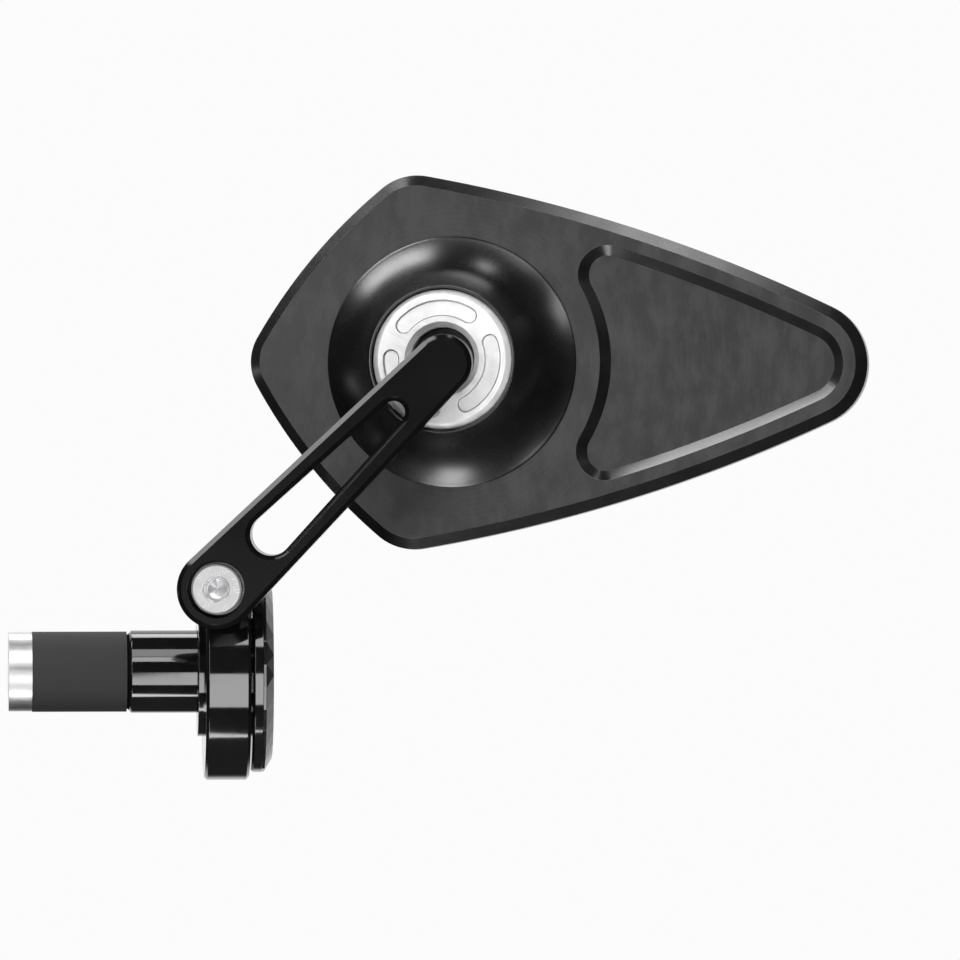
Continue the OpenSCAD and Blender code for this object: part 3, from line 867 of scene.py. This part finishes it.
@dataclass
class MirrorHead(SubAssembly):
    """Kite-shaped blade with its raised hub, retaining ring and pane."""

    local: Matrix
    body: str = "mirror_head"
    corners: tuple[tuple[Point, float], ...] = (
        ((60.0, 0.0), 10.7),
        ((-6.5, 22.3), 9.4),
        ((-26.5, 0.0), 8.3),
        ((-6.5, -22.3), 9.4),
    )
    sides: tuple[float, ...] = (275.0, 92.0, 92.0, 275.0)
    corner_steps: int = 26
    side_steps: int = 30
    back: float = -4.7
    front: float = -9.3
    bevel: float = 1.8
    front_bevel: float = 0.5
    rim: float = 2.2
    recess_floor: float = -7.2
    pocket_hub: float = 25.3
    pocket_land: float = 3.9
    pocket_corner: float = 5.0
    pocket_depth: float = 1.5
    pocket_slope: float = 1.7
    cavity: float = 9.45
    cavity_floor: float = -5.9
    dome: float = 21.3
    dome_height: float = 11.0
    foot_slope: float = 30.0
    flank_rings: int = 34
    lip: float = 12.45
    thread: float = 12.0
    lip_top: float = 6.3
    ring_step: float = 2.68
    ring: float = 11.8
    ring_back: float = 3.6
    ring_face: float = 6.5
    ring_hole: float = 5.45
    ring_bevel: float = 0.9
    ring_back_bevel: float = 0.3
    kidneys: int = 3
    kidney_span: float = 81.0
    kidney_first: float = 99.0
    kidney_mid: float = 8.66
    kidney_width: float = 2.78
    kidney_depth: float = 0.6
    kidney_groove: float = 0.7
    kidney_line: float = 0.22
    pane_back: float = -7.5
    pane_gap: float = 0.15
    pane_curve: float = 1400.0
    pane_mid: float = 17.95
    pane_reach: float = 53.0
    pane_rings: int = 30
    pane_flat: float = 0.4
    slope_limit: float = 0.93

    def edge(self, inset: float) -> list[Arc]:
        """The blade's outline, drawn in by an inset.

        Args:
            inset: how far it is drawn in.

        Returns:
            Its arcs, counter-clockwise from the far tip.
        """
        count = len(self.corners)
        mids = []
        for i in range(count):
            (a, ra), (b, rb) = self.corners[i], self.corners[(i + 1) % count]
            mids.append(meet(a, self.sides[i] - ra, b, self.sides[i] - rb))
        arcs = []
        for i in range(count):
            j = (i + 1) % count
            a0 = bearing(mids[i], self.corners[i][0])
            a1 = onward(a0, bearing(mids[i], self.corners[j][0]))
            a2 = onward(a1, bearing(mids[j], self.corners[j][0]))
            arcs.append(Arc(mids[i], self.sides[i] - inset, a0, a1, self.side_steps))
            arcs.append(Arc(self.corners[j][0], self.corners[j][1] - inset, a1, a2, self.corner_steps))
        return arcs

    def pocket(self, inset: float) -> list[Arc]:
        """The triangular pocket's outline, drawn in by an inset.

        Args:
            inset: how far it is drawn in.

        Returns:
            Its arcs, counter-clockwise from the far tip's middle.
        """
        tip, tip_r = self.corners[0]
        mid = meet(tip, self.sides[0] - tip_r, self.corners[1][0], self.sides[0] - self.corners[1][1])
        side = self.sides[0] - self.pocket_land
        corner = meet((0.0, 0.0), self.pocket_hub + self.pocket_corner, mid, side - self.pocket_corner)
        tip_a, corner_a, hub_a = bearing(mid, tip), bearing(mid, corner), bearing((0.0, 0.0), corner)
        tip_r -= self.pocket_land + inset
        low_mid, low_corner = (mid[0], -mid[1]), (corner[0], -corner[1])
        small = self.pocket_corner - inset
        return [
            Arc(tip, tip_r, 0.0, tip_a, self.corner_steps),
            Arc(mid, side - inset, tip_a, corner_a, self.side_steps),
            Arc(corner, small, corner_a, math.pi + hub_a, self.corner_steps),
            Arc((0.0, 0.0), self.pocket_hub + inset, hub_a, -hub_a, self.side_steps),
            Arc(low_corner, small, math.pi - hub_a, FULL_TURN - corner_a, self.corner_steps),
            Arc(low_mid, side - inset, -corner_a, -tip_a, self.side_steps),
            Arc(tip, tip_r, -tip_a, 0.0, self.corner_steps),
        ]

    def trim(self, obj: bpy.types.Object, slopes: Finish) -> None:
        """Gives the faces that slope a finish of their own.

        Args:
            obj: the piece.
            slopes: the finish of its sloping faces.
        """
        obj.data.materials.append(slopes.material())
        axis = self.local.to_3x3() @ Vector((0.0, 0.0, 1.0))
        for face in obj.data.polygons:
            if abs(face.normal.dot(axis)) < self.slope_limit:
                face.material_index = 1

    def build_blade(self, finish: Finish, slopes: Finish) -> None:
        """Builds the blade from its pane's recess round to the pocket and the ball's cavity."""
        work = Workpiece("blade")
        rows = (
            (self.rim, self.recess_floor),
            (self.rim, self.front),
            (self.front_bevel, self.front),
            (0.0, self.front + self.front_bevel),
            (0.0, self.back - self.bevel),
            (self.bevel, self.back),
        )
        shell = [work.outline(self.edge(inset), height) for inset, height in rows]
        pocket_top = work.outline(self.pocket(0.0), self.back)
        pocket_floor = work.outline(self.pocket(self.pocket_slope), self.back - self.pocket_depth)
        cavity_top = work.circle(self.cavity, self.back)
        cavity_floor = work.circle(self.cavity, self.cavity_floor)
        work.cap(shell[0])
        work.bridge(*shell)
        work.fill(shell[-1], pocket_top, cavity_top)
        work.bridge(pocket_top, pocket_floor)
        work.cap(pocket_floor)
        work.bridge(cavity_top, cavity_floor)
        work.cap(cavity_floor)
        work.tidy().softened(0.14, 20.0)
        blade = work.finish(self.local)
        self.place(blade, finish, "mirror_blade")
        self.trim(blade, slopes)

    def build_dome(self, finish: Finish) -> None:
        """Builds the raised hub with its hollow flank, lip, thread and seat bore."""
        run = self.dome - self.lip
        chord = math.hypot(run, self.dome_height)
        slope = math.radians(self.foot_slope)
        turn = math.atan2(self.dome_height, run) - slope
        hollow = chord / (2 * math.sin(turn))
        mid = (self.dome + hollow * math.sin(slope), self.back + hollow * math.cos(slope))
        first = bearing(mid, (self.dome, self.back)) % FULL_TURN
        last = bearing(mid, (self.lip, self.lip_top)) % FULL_TURN
        profile = []
        for i in range(self.flank_rings + 1):
            angle = first + (last - first) * i / self.flank_rings
            profile.append((mid[0] + hollow * math.cos(angle), mid[1] + hollow * math.sin(angle)))
        profile += [(self.thread, self.lip_top), (self.thread, self.ring_step)]
        profile += [(self.cavity, self.ring_step), (self.cavity, self.back)]
        work = Workpiece("blade_hub").turned(profile, 192, closed=True).softened(0.07, 40.0)
        self.place(work.finish(self.local, 30.0), finish)

    def kidney(self) -> Workpiece:
        """A cutter of one spanner pocket, with a fine groove round its floor."""
        half = math.radians(self.kidney_span / 2)
        ends = [(self.kidney_mid * math.cos(a), self.kidney_mid * math.sin(a)) for a in (half, -half)]
        work = Workpiece("kidney")
        floor = self.ring_face - self.kidney_depth
        loops = []
        for grow, height in (
            (0.0, self.ring_face + 1.0),
            (0.0, floor - self.kidney_groove),
            (-self.kidney_line, floor - self.kidney_groove),
            (-self.kidney_line, floor),
        ):
            end_r = self.kidney_width / 2 + grow
            shape = [
                Arc((0.0, 0.0), self.kidney_mid + end_r, -half, half, 40),
                Arc(ends[0], end_r, half, half + math.pi, 24),
                Arc((0.0, 0.0), self.kidney_mid - end_r, half, -half, 40),
                Arc(ends[1], end_r, math.pi - half, FULL_TURN - half, 24),
            ]
            loops.append(work.outline(shape, height))
        return work.stack(*loops)

    def build_ring(self, finish: Finish) -> None:
        """Builds the retaining ring, with its bevels and three spanner pockets."""
        edge, back_edge = self.ring_bevel, self.ring_back_bevel
        profile = [
            (self.ring_hole, self.ring_back),
            (self.ring - back_edge, self.ring_back),
            (self.ring, self.ring_back + back_edge),
            (self.ring, self.ring_face - edge),
            (self.ring - edge, self.ring_face),
            (self.ring_hole + edge, self.ring_face),
            (self.ring_hole, self.ring_face - edge),
        ]
        work = Workpiece("spanner_ring").turned(profile, 192, closed=True)
        for i in range(self.kidneys):
            place = self.kidney_first + 360.0 / self.kidneys * i
            work.combine(self.kidney().moved(rotation(place, "Z")))
        work.softened(0.06, 35.0)
        self.place(work.finish(self.local, 30.0), finish, "retaining_ring")

    def build_pane(self, finish: Finish) -> None:
        """Builds the convex pane as the pane's outline cut with a shallow lens."""
        profile = []
        for i in range(self.pane_rings + 1):
            radius = max(self.pane_flat, self.pane_reach * i / self.pane_rings)
            profile.append((radius, self.front + radius * radius / (2 * self.pane_curve)))
        profile.append((self.pane_reach, self.pane_back))
        lens = Workpiece("lens").turned(profile, 192).moved(Matrix.Translation((self.pane_mid, 0.0, 0.0)))
        work = Workpiece("pane")
        outline = self.edge(self.rim + self.pane_gap)
        heights = (self.front - 1.0, self.pane_back + 0.001)
        work.stack(*(work.outline(outline, height) for height in heights)).combine(lens, "INTERSECT")
        self.place(work.finish(self.local, 20.0), finish, "mirror_pane")

    def build(self) -> None:
        """Builds and dresses the whole head."""
        slopes = GlossBlack("sloped_black", Slot.SATIN, self.local, 0.006, 0.22, 0.14)
        self.build_blade(MilledBlack("milled_black", Slot.SATIN, self.local), slopes)
        self.build_dome(GlossBlack("polished_black", Slot.SATIN, self.local, 0.002, 0.26))
        self.build_ring(BlastedAluminium("blasted_aluminium", Slot.RING, self.local, 0.92))
        self.build_pane(SilveredGlass("silvered_glass", Slot.GLASS, self.local))
        self.dress("ring_seal", Moulded("seal_rubber", Slot.RUBBER, self.local))
        glue = Moulded("pane_adhesive", Slot.ADHESIVE, self.local, tint(0.03, 0.032), 0.6)
        self.dress("pane_adhesive", glue)


# The arm


@dataclass
class SlottedArm(SubAssembly):
    """Flat tapered arm with its slot, counterbore and bores."""

    local: Matrix
    body: str = "swing_arm"
    length: float = 53.9
    thickness: float = 6.5
    wide: float = 6.7
    narrow: float = 4.9
    bevel: float = 0.8
    back_bevel: float = 0.4
    slot_start: float = 13.0
    slot_end: float = 42.2
    slot_wide: float = 3.5
    slot_narrow: float = 1.95
    counterbore: float = 4.9
    counterbore_depth: float = 4.9
    screw_hole: float = 2.55
    stud_hole: float = 2.52
    stud_depth: float = 4.52
    set_screw: float = 1.27
    set_screw_angle: float = 34.0
    set_screw_height: float = 2.25

    def belt(self, x0: float, r0: float, x1: float, r1: float, inset: float) -> list[Arc]:
        """Arcs of two circles at x0 and x1 joined by straight flanks, drawn in by an inset."""
        lean = math.acos((r0 - r1) / (x1 - x0))
        return [
            Arc((x1, 0.0), r1 - inset, -lean, lean, 40),
            Arc((x0, 0.0), r0 - inset, lean, FULL_TURN - lean, 48),
        ]

    def outer(self, inset: float) -> list[Arc]:
        """The arm's outline, drawn in by an inset."""
        return self.belt(0.0, self.wide, self.length, self.narrow, inset)

    def slot_outline(self, inset: float) -> list[Arc]:
        """The slot's outline, drawn in by an inset."""
        return self.belt(self.slot_start, self.slot_wide, self.slot_end, self.slot_narrow, inset)

    def build(self) -> None:
        """Builds the arm and dresses what is fixed in it."""
        work = Workpiece("slotted_arm")
        top = self.thickness
        rows = ((self.back_bevel, 0.0), (0.0, self.back_bevel), (0.0, top - self.bevel), (self.bevel, top))
        shell = [work.outline(self.outer(inset), height) for inset, height in rows]
        rows = ((-self.bevel, top), (0.0, top - self.bevel), (0.0, 0.0))
        slot = [work.outline(self.slot_outline(inset), height) for inset, height in rows]
        bore_face = work.circle(self.counterbore, top, 96)
        bore_floor = work.circle(self.counterbore, top - self.counterbore_depth, 96)
        hole_top = work.circle(self.screw_hole, top - self.counterbore_depth, 64)
        hole_back = work.circle(self.screw_hole, 0.0, 64)
        stud_back = work.circle(self.stud_hole, 0.0, 64, (self.length, 0.0))
        stud_floor = work.circle(self.stud_hole, self.stud_depth, 64, (self.length, 0.0))
        work.bridge(*shell)
        work.fill(shell[-1], slot[0], bore_face)
        work.bridge(*slot)
        work.bridge(bore_face, bore_floor)
        work.fill(bore_floor, hole_top)
        work.bridge(hole_top, hole_back)
        work.fill(shell[0], slot[-1], hole_back, stud_back)
        work.bridge(stud_back, stud_floor)
        work.cap(stud_floor)
        work.tidy()
        drill = Workpiece("drill").turned([(self.set_screw, 0.0), (self.set_screw, 2 * self.narrow)], 48)
        place = Matrix.Translation((self.length, 0.0, self.set_screw_height))
        drill.moved(place @ rotation(self.set_screw_angle, "Z") @ rotation(90, "Y"))
        work.combine(drill).flattened().softened(0.12, 30.0)
        self.place(work.finish(self.local), SatinBlack("arm_black", Slot.SATIN, self.local), "arm")
        for node, name, tone, rough in (
            ("ball_stud", "dark_stud", 0.10, 0.3),
            ("stud_set_screw", "black_screw", 0.06, 0.35),
        ):
            self.dress(node, TurnedSteel(name, Slot.DARK_STEEL, self.local, tone, rough))


# The clamp


@dataclass
class Clamp(SubAssembly):
    """Split ring with its lugs, pivot screw and washers."""

    frames: Frames
    body: str = "clamp"
    radius: float = 18.4
    width: float = 7.6
    start: float = 1.1
    bevel: float = 0.5
    bore: float = 11.05
    slit: float = 1.5
    lug: float = 5.4
    lug_front: float = 17.5
    lug_rear: float = 9.0
    lug_start: float = 0.2
    screw_hole: float = 2.75
    thread_hole: float = 2.52
    head: float = 4.25
    head_height: float = 3.8
    head_bed: float = -20.1
    thread: float = 2.5
    screw_tip: float = 8.7
    socket: float = 4.0
    socket_depth: float = 2.4
    thread_edge: float = 0.3
    head_edge: float = 0.35
    cutter_reach: float = 30.0

    def rod(self, name: str, radius: float, y0: float, y1: float, points: int = 96) -> Workpiece:
        """A rod along the pivot screw's axis from y0 to y1, in the row frame."""
        place = self.frames.at_pivot(1.0) @ Matrix.Translation((0.0, y0, 0.0)) @ rotation(-90, "X")
        return Workpiece(name).turned([(radius, 0.0), (radius, y1 - y0)], points).moved(place)

    def box(
        self, name: str, low: tuple[float, ...], high: tuple[float, ...], matrix: Matrix = Matrix()
    ) -> Workpiece:
        """A box between two corners.

        Args:
            name: its name.
            low: its lowest corner.
            high: its highest corner.
            matrix: its move, in millimetres.

        Returns:
            The box.
        """
        size = [high[i] - low[i] for i in range(3)]
        half_diagonal = math.sqrt(0.5)
        work = Workpiece(name).turned([(half_diagonal, 0.0), (half_diagonal, 1.0)], 4)
        work.moved(Matrix.Translation((0.5, 0.5, 0.0)) @ rotation(45, "Z"))
        return work.moved(Matrix.Diagonal((*size, 1.0))).moved(matrix @ Matrix.Translation(low))

    def build_ring(self, finish: Finish) -> None:
        """Builds the split ring with both lugs."""
        end, edge, half, far = self.start + self.width, self.bevel, self.width / 2, self.cutter_reach
        profile = [
            (self.bore, self.start),
            (self.radius - edge, self.start),
            (self.radius, self.start + edge),
            (self.radius, end - edge),
            (self.radius - edge, end),
            (self.bore, end),
        ]
        work = Workpiece("split_ring").turned(profile, 256, closed=True).moved(self.frames.along_bar())
        lug = self.rod("lug", self.lug, -self.lug_front, self.lug_rear)
        pivot = self.frames.at_pivot(1.0)
        lug.combine(self.box("lug_width", (-half, -far, -far), (half, far, far), pivot), "INTERSECT")
        lug.combine(self.box("lug_ends", (self.lug_start, -far, -1.0), (end, far, far)), "INTERSECT")
        bore = Workpiece("lug_bore").turned([(self.bore, -5.0), (self.bore, 15.0)], 256)
        lug.combine(bore.moved(self.frames.along_bar()))
        work.combine(lug, "UNION")
        work.combine(self.box("slit", (-5.0, -self.slit / 2, 0.0), (15.0, self.slit / 2, far)))
        work.combine(self.rod("screw_hole", self.screw_hole, -far, 0.0))
        work.combine(self.rod("thread_hole", self.thread_hole, 0.0, far))
        work.softened(0.1, 38.0)
        self.place(work.finish(Matrix(), 30.0), finish, "clamp_ring")

    def build_screw(self, finish: Finish) -> None:
        """Builds the pivot screw with its knurled head and hexagon socket."""
        tip = self.head_bed - self.screw_tip
        top = self.head_height
        floor = top - self.socket_depth
        profile = [
            (self.thread - self.thread_edge, tip),
            (self.thread, tip + self.thread_edge),
            (self.thread, 0.0),
            (self.head, 0.0),
            (self.head, top - self.head_edge),
            (self.head - self.head_edge, top),
        ]
        work = Workpiece("pivot_cap_screw").turned(profile, 96)
        corner = self.socket / (2 * math.cos(math.radians(30)))
        for name, cut, points in (
            ("hexagon", [(corner, floor), (corner, top + 1.0)], 6),
            ("mouth", [(corner - 0.2, top - 0.25), (corner + 0.95, top + 0.9)], 96),
            ("drilled", [(self.socket / 2 - 0.05, floor + 0.2), (0.05, floor - 1.0)], 96),
        ):
            work.combine(Workpiece(name).turned(cut, points))
        work.softened(0.06, 30.0)
        place = self.frames.on_pivot_screw(self.head_bed)
        self.place(work.finish(place, 30.0), finish, "pivot_screw")

    def build(self) -> None:
        """Builds and dresses the clamp."""
        screw = self.frames.on_pivot_screw(self.head_bed)
        stainless = TurnedSteel("stainless", Slot.SCREW, screw, 0.78, 0.24, 0.55)
        plastic = Moulded("dark_plastic", Slot.DARK_PLASTIC, screw, tint(0.04, 0.042), 0.5)
        self.build_ring(GLOSS)
        self.build_screw(stainless)
        self.dress("head_washer", stainless)
        self.dress("friction_washer", plastic)


# The bar end


@dataclass
class BarEnd(SubAssembly):
    """Plug with its flange and faceted cap, and the expander inside the bar."""

    frames: Frames
    body: str = "bar_end"
    shank: float = 7.0
    shank_length: float = 12.0
    collar: float = 11.0
    flange: float = 17.1
    flange_start: float = 9.0
    flange_end: float = 10.8
    recess: float = 9.0
    recess_start: float = 8.8
    screw_bed: float = 2.8
    screw_recess: float = 5.6
    screw_hole: float = 3.25
    cap: float = 17.0
    cap_top: float = 2.2
    cap_height: float = 1.8
    facets: int = 27
    rim: float = 0.5
    shank_bevel: float = 0.8
    flange_bevel: float = 0.4

    def build_plug(self, finish: Finish) -> None:
        """Builds the plug as one turned piece."""
        edge, flange_edge = self.shank_bevel, self.flange_bevel
        profile = [
            (self.shank - edge, -self.shank_length),
            (self.shank, edge - self.shank_length),
            (self.shank, 0.0),
            (self.collar, 0.0),
            (self.collar, self.flange_start),
            (self.flange - flange_edge, self.flange_start),
            (self.flange, self.flange_start + flange_edge),
            (self.flange, self.flange_end),
            (self.recess, self.flange_end),
            (self.recess, self.recess_start),
            (self.screw_recess, self.recess_start),
            (self.screw_recess, self.screw_bed),
            (self.screw_hole, self.screw_bed),
            (self.screw_hole, -self.shank_length),
        ]
        work = Workpiece("turned_plug").turned(profile, 192, closed=True).softened(0.08, 30.0)
        self.place(work.finish(self.frames.along_bar(), 30.0), finish, "bar_end_plug")

    def build_cap(self, finish: Finish) -> None:
        """Builds the cap, whose rim is cut into triangular facets."""
        start, end = self.flange_end, self.flange_end + self.cap_height
        foot = start + self.rim
        work = Workpiece("faceted_cap").turned([(self.cap, start), (self.cap, foot)], self.facets)
        crown = Workpiece("crown")
        crown.circle(self.cap, foot, self.facets)
        crown.pick(crown.circle(self.cap - self.cap_top, end, self.facets))
        half_step = math.pi / self.facets
        bpy.ops.transform.rotate(value=half_step, orient_axis="Z", center_override=(0.0, 0.0, end))
        bpy.ops.mesh.select_all(action="SELECT")
        bpy.ops.mesh.convex_hull()
        crown.close()
        work.combine(crown.tidy(), "UNION").moved(self.frames.along_bar()).softened(0.05, 4.0, 1)
        self.place(work.finish(Matrix(), 2.0), finish, "end_cap")

    def build(self) -> None:
        """Builds and dresses the bar end."""
        bar = self.frames.along_bar()
        self.build_plug(GLOSS)
        self.build_cap(GlossBlack("cap_black", Slot.BLACK, Matrix(), 0.005, 0.14, 0.05, "X"))
        rubber = Moulded("seal_rubber", Slot.RUBBER, Matrix())
        steel = TurnedSteel("expander_steel", Slot.SCREW, bar)
        for node, finish in (
            ("cap_seal", rubber),
            ("expander_sleeve", rubber),
            ("expander_screw", steel),
            ("expander_washer", steel),
            ("expander_cone", TurnedSteel("cone_aluminium", Slot.PLAIN, bar, 0.6, 0.35)),
        ):
            self.dress(node, finish)


@dataclass
class BallSocket(SubAssembly):
    """Liner, seats and spring round the ball."""

    local: Matrix
    body: str = "seat_pair"

    def build(self) -> None:
        """Dresses the pieces of the socket."""
        liner = Moulded("liner", Slot.DARK_PLASTIC, self.local, tint(0.05, 0.048), 0.45)
        dark = Moulded("dark_seat", Slot.DARK_PLASTIC, self.local, tint(0.03, 0.032), 0.5)
        self.dress("ball_liner", liner)
        self.dress("front_ball_seat", dark)
        self.dress("rear_ball_seat", dark)
        self.dress("seat_spring", TurnedSteel("spring_steel", Slot.SCREW, self.local, 0.5, 0.3))


# The studio


@dataclass(frozen=True)
class Softbox:
    """A soft rectangular lamp that faces a point, in metres and watts."""

    name: str
    place: tuple[float, float, float]
    size: tuple[float, float]
    power: float
    aim: tuple[float, float, float] = (0.045, -0.01, 0.03)

    def light(self) -> None:
        """Adds the lamp."""
        lamp = bpy.data.lights.new(self.name, "AREA")
        lamp.shape = "RECTANGLE"
        lamp.size, lamp.size_y = self.size
        lamp.energy = self.power
        obj = bpy.data.objects.new(self.name, lamp)
        bpy.context.scene.collection.objects.link(obj)
        obj.location = self.place
        obj.rotation_euler = (Vector(self.aim) - Vector(self.place)).to_track_quat("-Z", "Y").to_euler()
        obj.visible_camera = False
        log.info("lamp %s", self.name)


@dataclass
class Studio:
    """Long-lens camera, soft lamps, plain pale floor and white surroundings."""

    yaw: float = -2.45
    elevation: float = 2.0
    distance: float = 3.0
    target: tuple[float, float, float] = (0.04803, 0.0, 0.03243)
    lens: float = 662.96
    floor_height: float = -0.62
    floor_size: float = 12.0
    white: float = 0.972
    floor_tone: float = 0.12
    dim: float = 0.03
    shadow: float = 0.015
    floor_behind: Point = (0.6, 1.4)
    sky_behind: Point = (0.42, 0.75)
    lamps: tuple[Softbox, ...] = (
        Softbox("front_band", (0.10, -0.60, 0.46), (1.20, 0.17), 2.6, (0.0, 0.0, 0.0)),
        Softbox("front_high", (0.0, -0.45, 0.67), (0.70, 0.32), 1.8),
        Softbox("front_low", (0.15, -0.55, -0.185), (0.32, 0.39), 1.7, (0.0, 0.0, 0.0)),
        Softbox("front_left", (-0.33, -0.50, 0.10), (0.22, 0.34), 0.9),
        Softbox("front_foot", (-0.19, -0.60, -0.14), (0.26, 0.26), 0.22),
        Softbox("overhead", (0.215, 0.01, 0.83), (0.14, 0.12), 0.27),
        Softbox("left_top", (-0.47, 0.04, 0.74), (0.28, 0.54), 3.6),
        Softbox("back_top", (0.12, 0.50, 0.83), (0.70, 0.30), 2.8),
        Softbox("under", (-0.085, -0.245, -0.47), (0.16, 0.24), 0.8),
    )

    def build_camera(self) -> None:
        """Adds the camera at the photograph's viewing angle."""
        yaw, rise = math.radians(self.yaw), math.radians(self.elevation)
        back = Vector((math.sin(yaw) * math.cos(rise), -math.cos(yaw) * math.cos(rise), math.sin(rise)))
        data = bpy.data.cameras.new("camera")
        data.lens = self.lens
        data.sensor_width = 36.0
        data.clip_start, data.clip_end = 0.1, 60.0
        camera = bpy.data.objects.new("camera", data)
        bpy.context.scene.collection.objects.link(camera)
        camera.location = Vector(self.target) + back * self.distance
        camera.rotation_euler = (-back).to_track_quat("-Z", "Y").to_euler()
        bpy.context.scene.camera = camera

    def white_share(self, sheet: NodeSheet, behind: Value) -> Value:
        """How much a ray sees of the plain white surroundings.

        Args:
            sheet: the material's nodes.
            behind: 1 where the surroundings lie behind the object, else 0.

        Returns:
            1 for camera and transmission rays everywhere and for glossy rays behind the object.
        """
        kinds = sheet.node("ShaderNodeLightPath", {}, {}, "Is Camera Ray")
        through = Value(sheet, kinds.socket.node.outputs["Is Transmission Ray"])
        glossy = Value(sheet, kinds.socket.node.outputs["Is Glossy Ray"])
        return (kinds + through + glossy * behind).between(0.0, 1.0)

    def build_floor(self) -> None:
        """Adds the pale floor, which looks white and keeps the object's shadow."""
        bpy.ops.object.select_all(action="DESELECT")
        bpy.ops.mesh.primitive_plane_add(size=self.floor_size, location=(0.0, 0.0, self.floor_height))
        floor = bpy.context.object
        floor.name = "floor"
        bpy.ops.object.transform_apply(location=True)
        material = bpy.data.materials.new("pale_floor")
        sheet = NodeSheet(material)
        _, y, _ = sheet.axes(sheet.place_in(Matrix()))
        matt = sheet.node("ShaderNodeBsdfDiffuse", {}, {"Color": (*tint(self.floor_tone), 1.0)})
        plain = sheet.node("ShaderNodeEmission", {}, {"Color": (*tint(self.white), 1.0), "Strength": 1.0})
        behind = (y * MM).between(*self.floor_behind)
        share = self.white_share(sheet, behind) * (1.0 - self.shadow)
        mixed = sheet.node("ShaderNodeMixShader", {}, {0: share, 1: matt, 2: plain})
        sheet.node("ShaderNodeOutputMaterial", {}, {"Surface": mixed})
        floor.data.materials.append(material)

    def build_world(self) -> None:
        """Makes the surroundings white to the camera and behind the object, and dim in front of it."""
        world = bpy.data.worlds.new("surroundings")
        bpy.context.scene.world = world
        sheet = NodeSheet(world)
        place = sheet.node("ShaderNodeTexCoord", {}, {}, "Generated")
        _, y, _ = sheet.axes(place)
        white = sheet.node("ShaderNodeBackground", {}, {"Color": (*tint(self.white), 1.0)})
        dim = sheet.node("ShaderNodeBackground", {}, {"Color": (*tint(self.dim, self.dim * 1.03), 1.0)})
        share = self.white_share(sheet, y.between(*self.sky_behind))
        mixed = sheet.node("ShaderNodeMixShader", {}, {0: share, 1: dim, 2: white})
        sheet.node("ShaderNodeOutputWorld", {}, {"Surface": mixed})

    def build(self) -> None:
        """Builds the studio."""
        self.build_camera()
        self.build_floor()
        self.build_world()
        for lamp in self.lamps:
            lamp.light()
        bpy.context.scene.view_settings.view_transform = "Standard"


def corners(box: tuple[Vector, Vector]) -> list[list[float]]:
    """A box's two corners as plain lists."""
    return [[float(part) for part in corner] for corner in box]


def main() -> None:
    """Builds the studio and every sub-assembly in order."""
    logging.basicConfig(level=logging.INFO, format="%(message)s")
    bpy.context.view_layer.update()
    frames = Frames()
    head = frames.in_head()
    Studio().build()
    MirrorHead(head).build()
    SlottedArm(frames.in_arm()).build()
    Clamp(frames).build()
    BarEnd(frames).build()
    BallSocket(head).build()


if __name__ == "__main__":
    main()
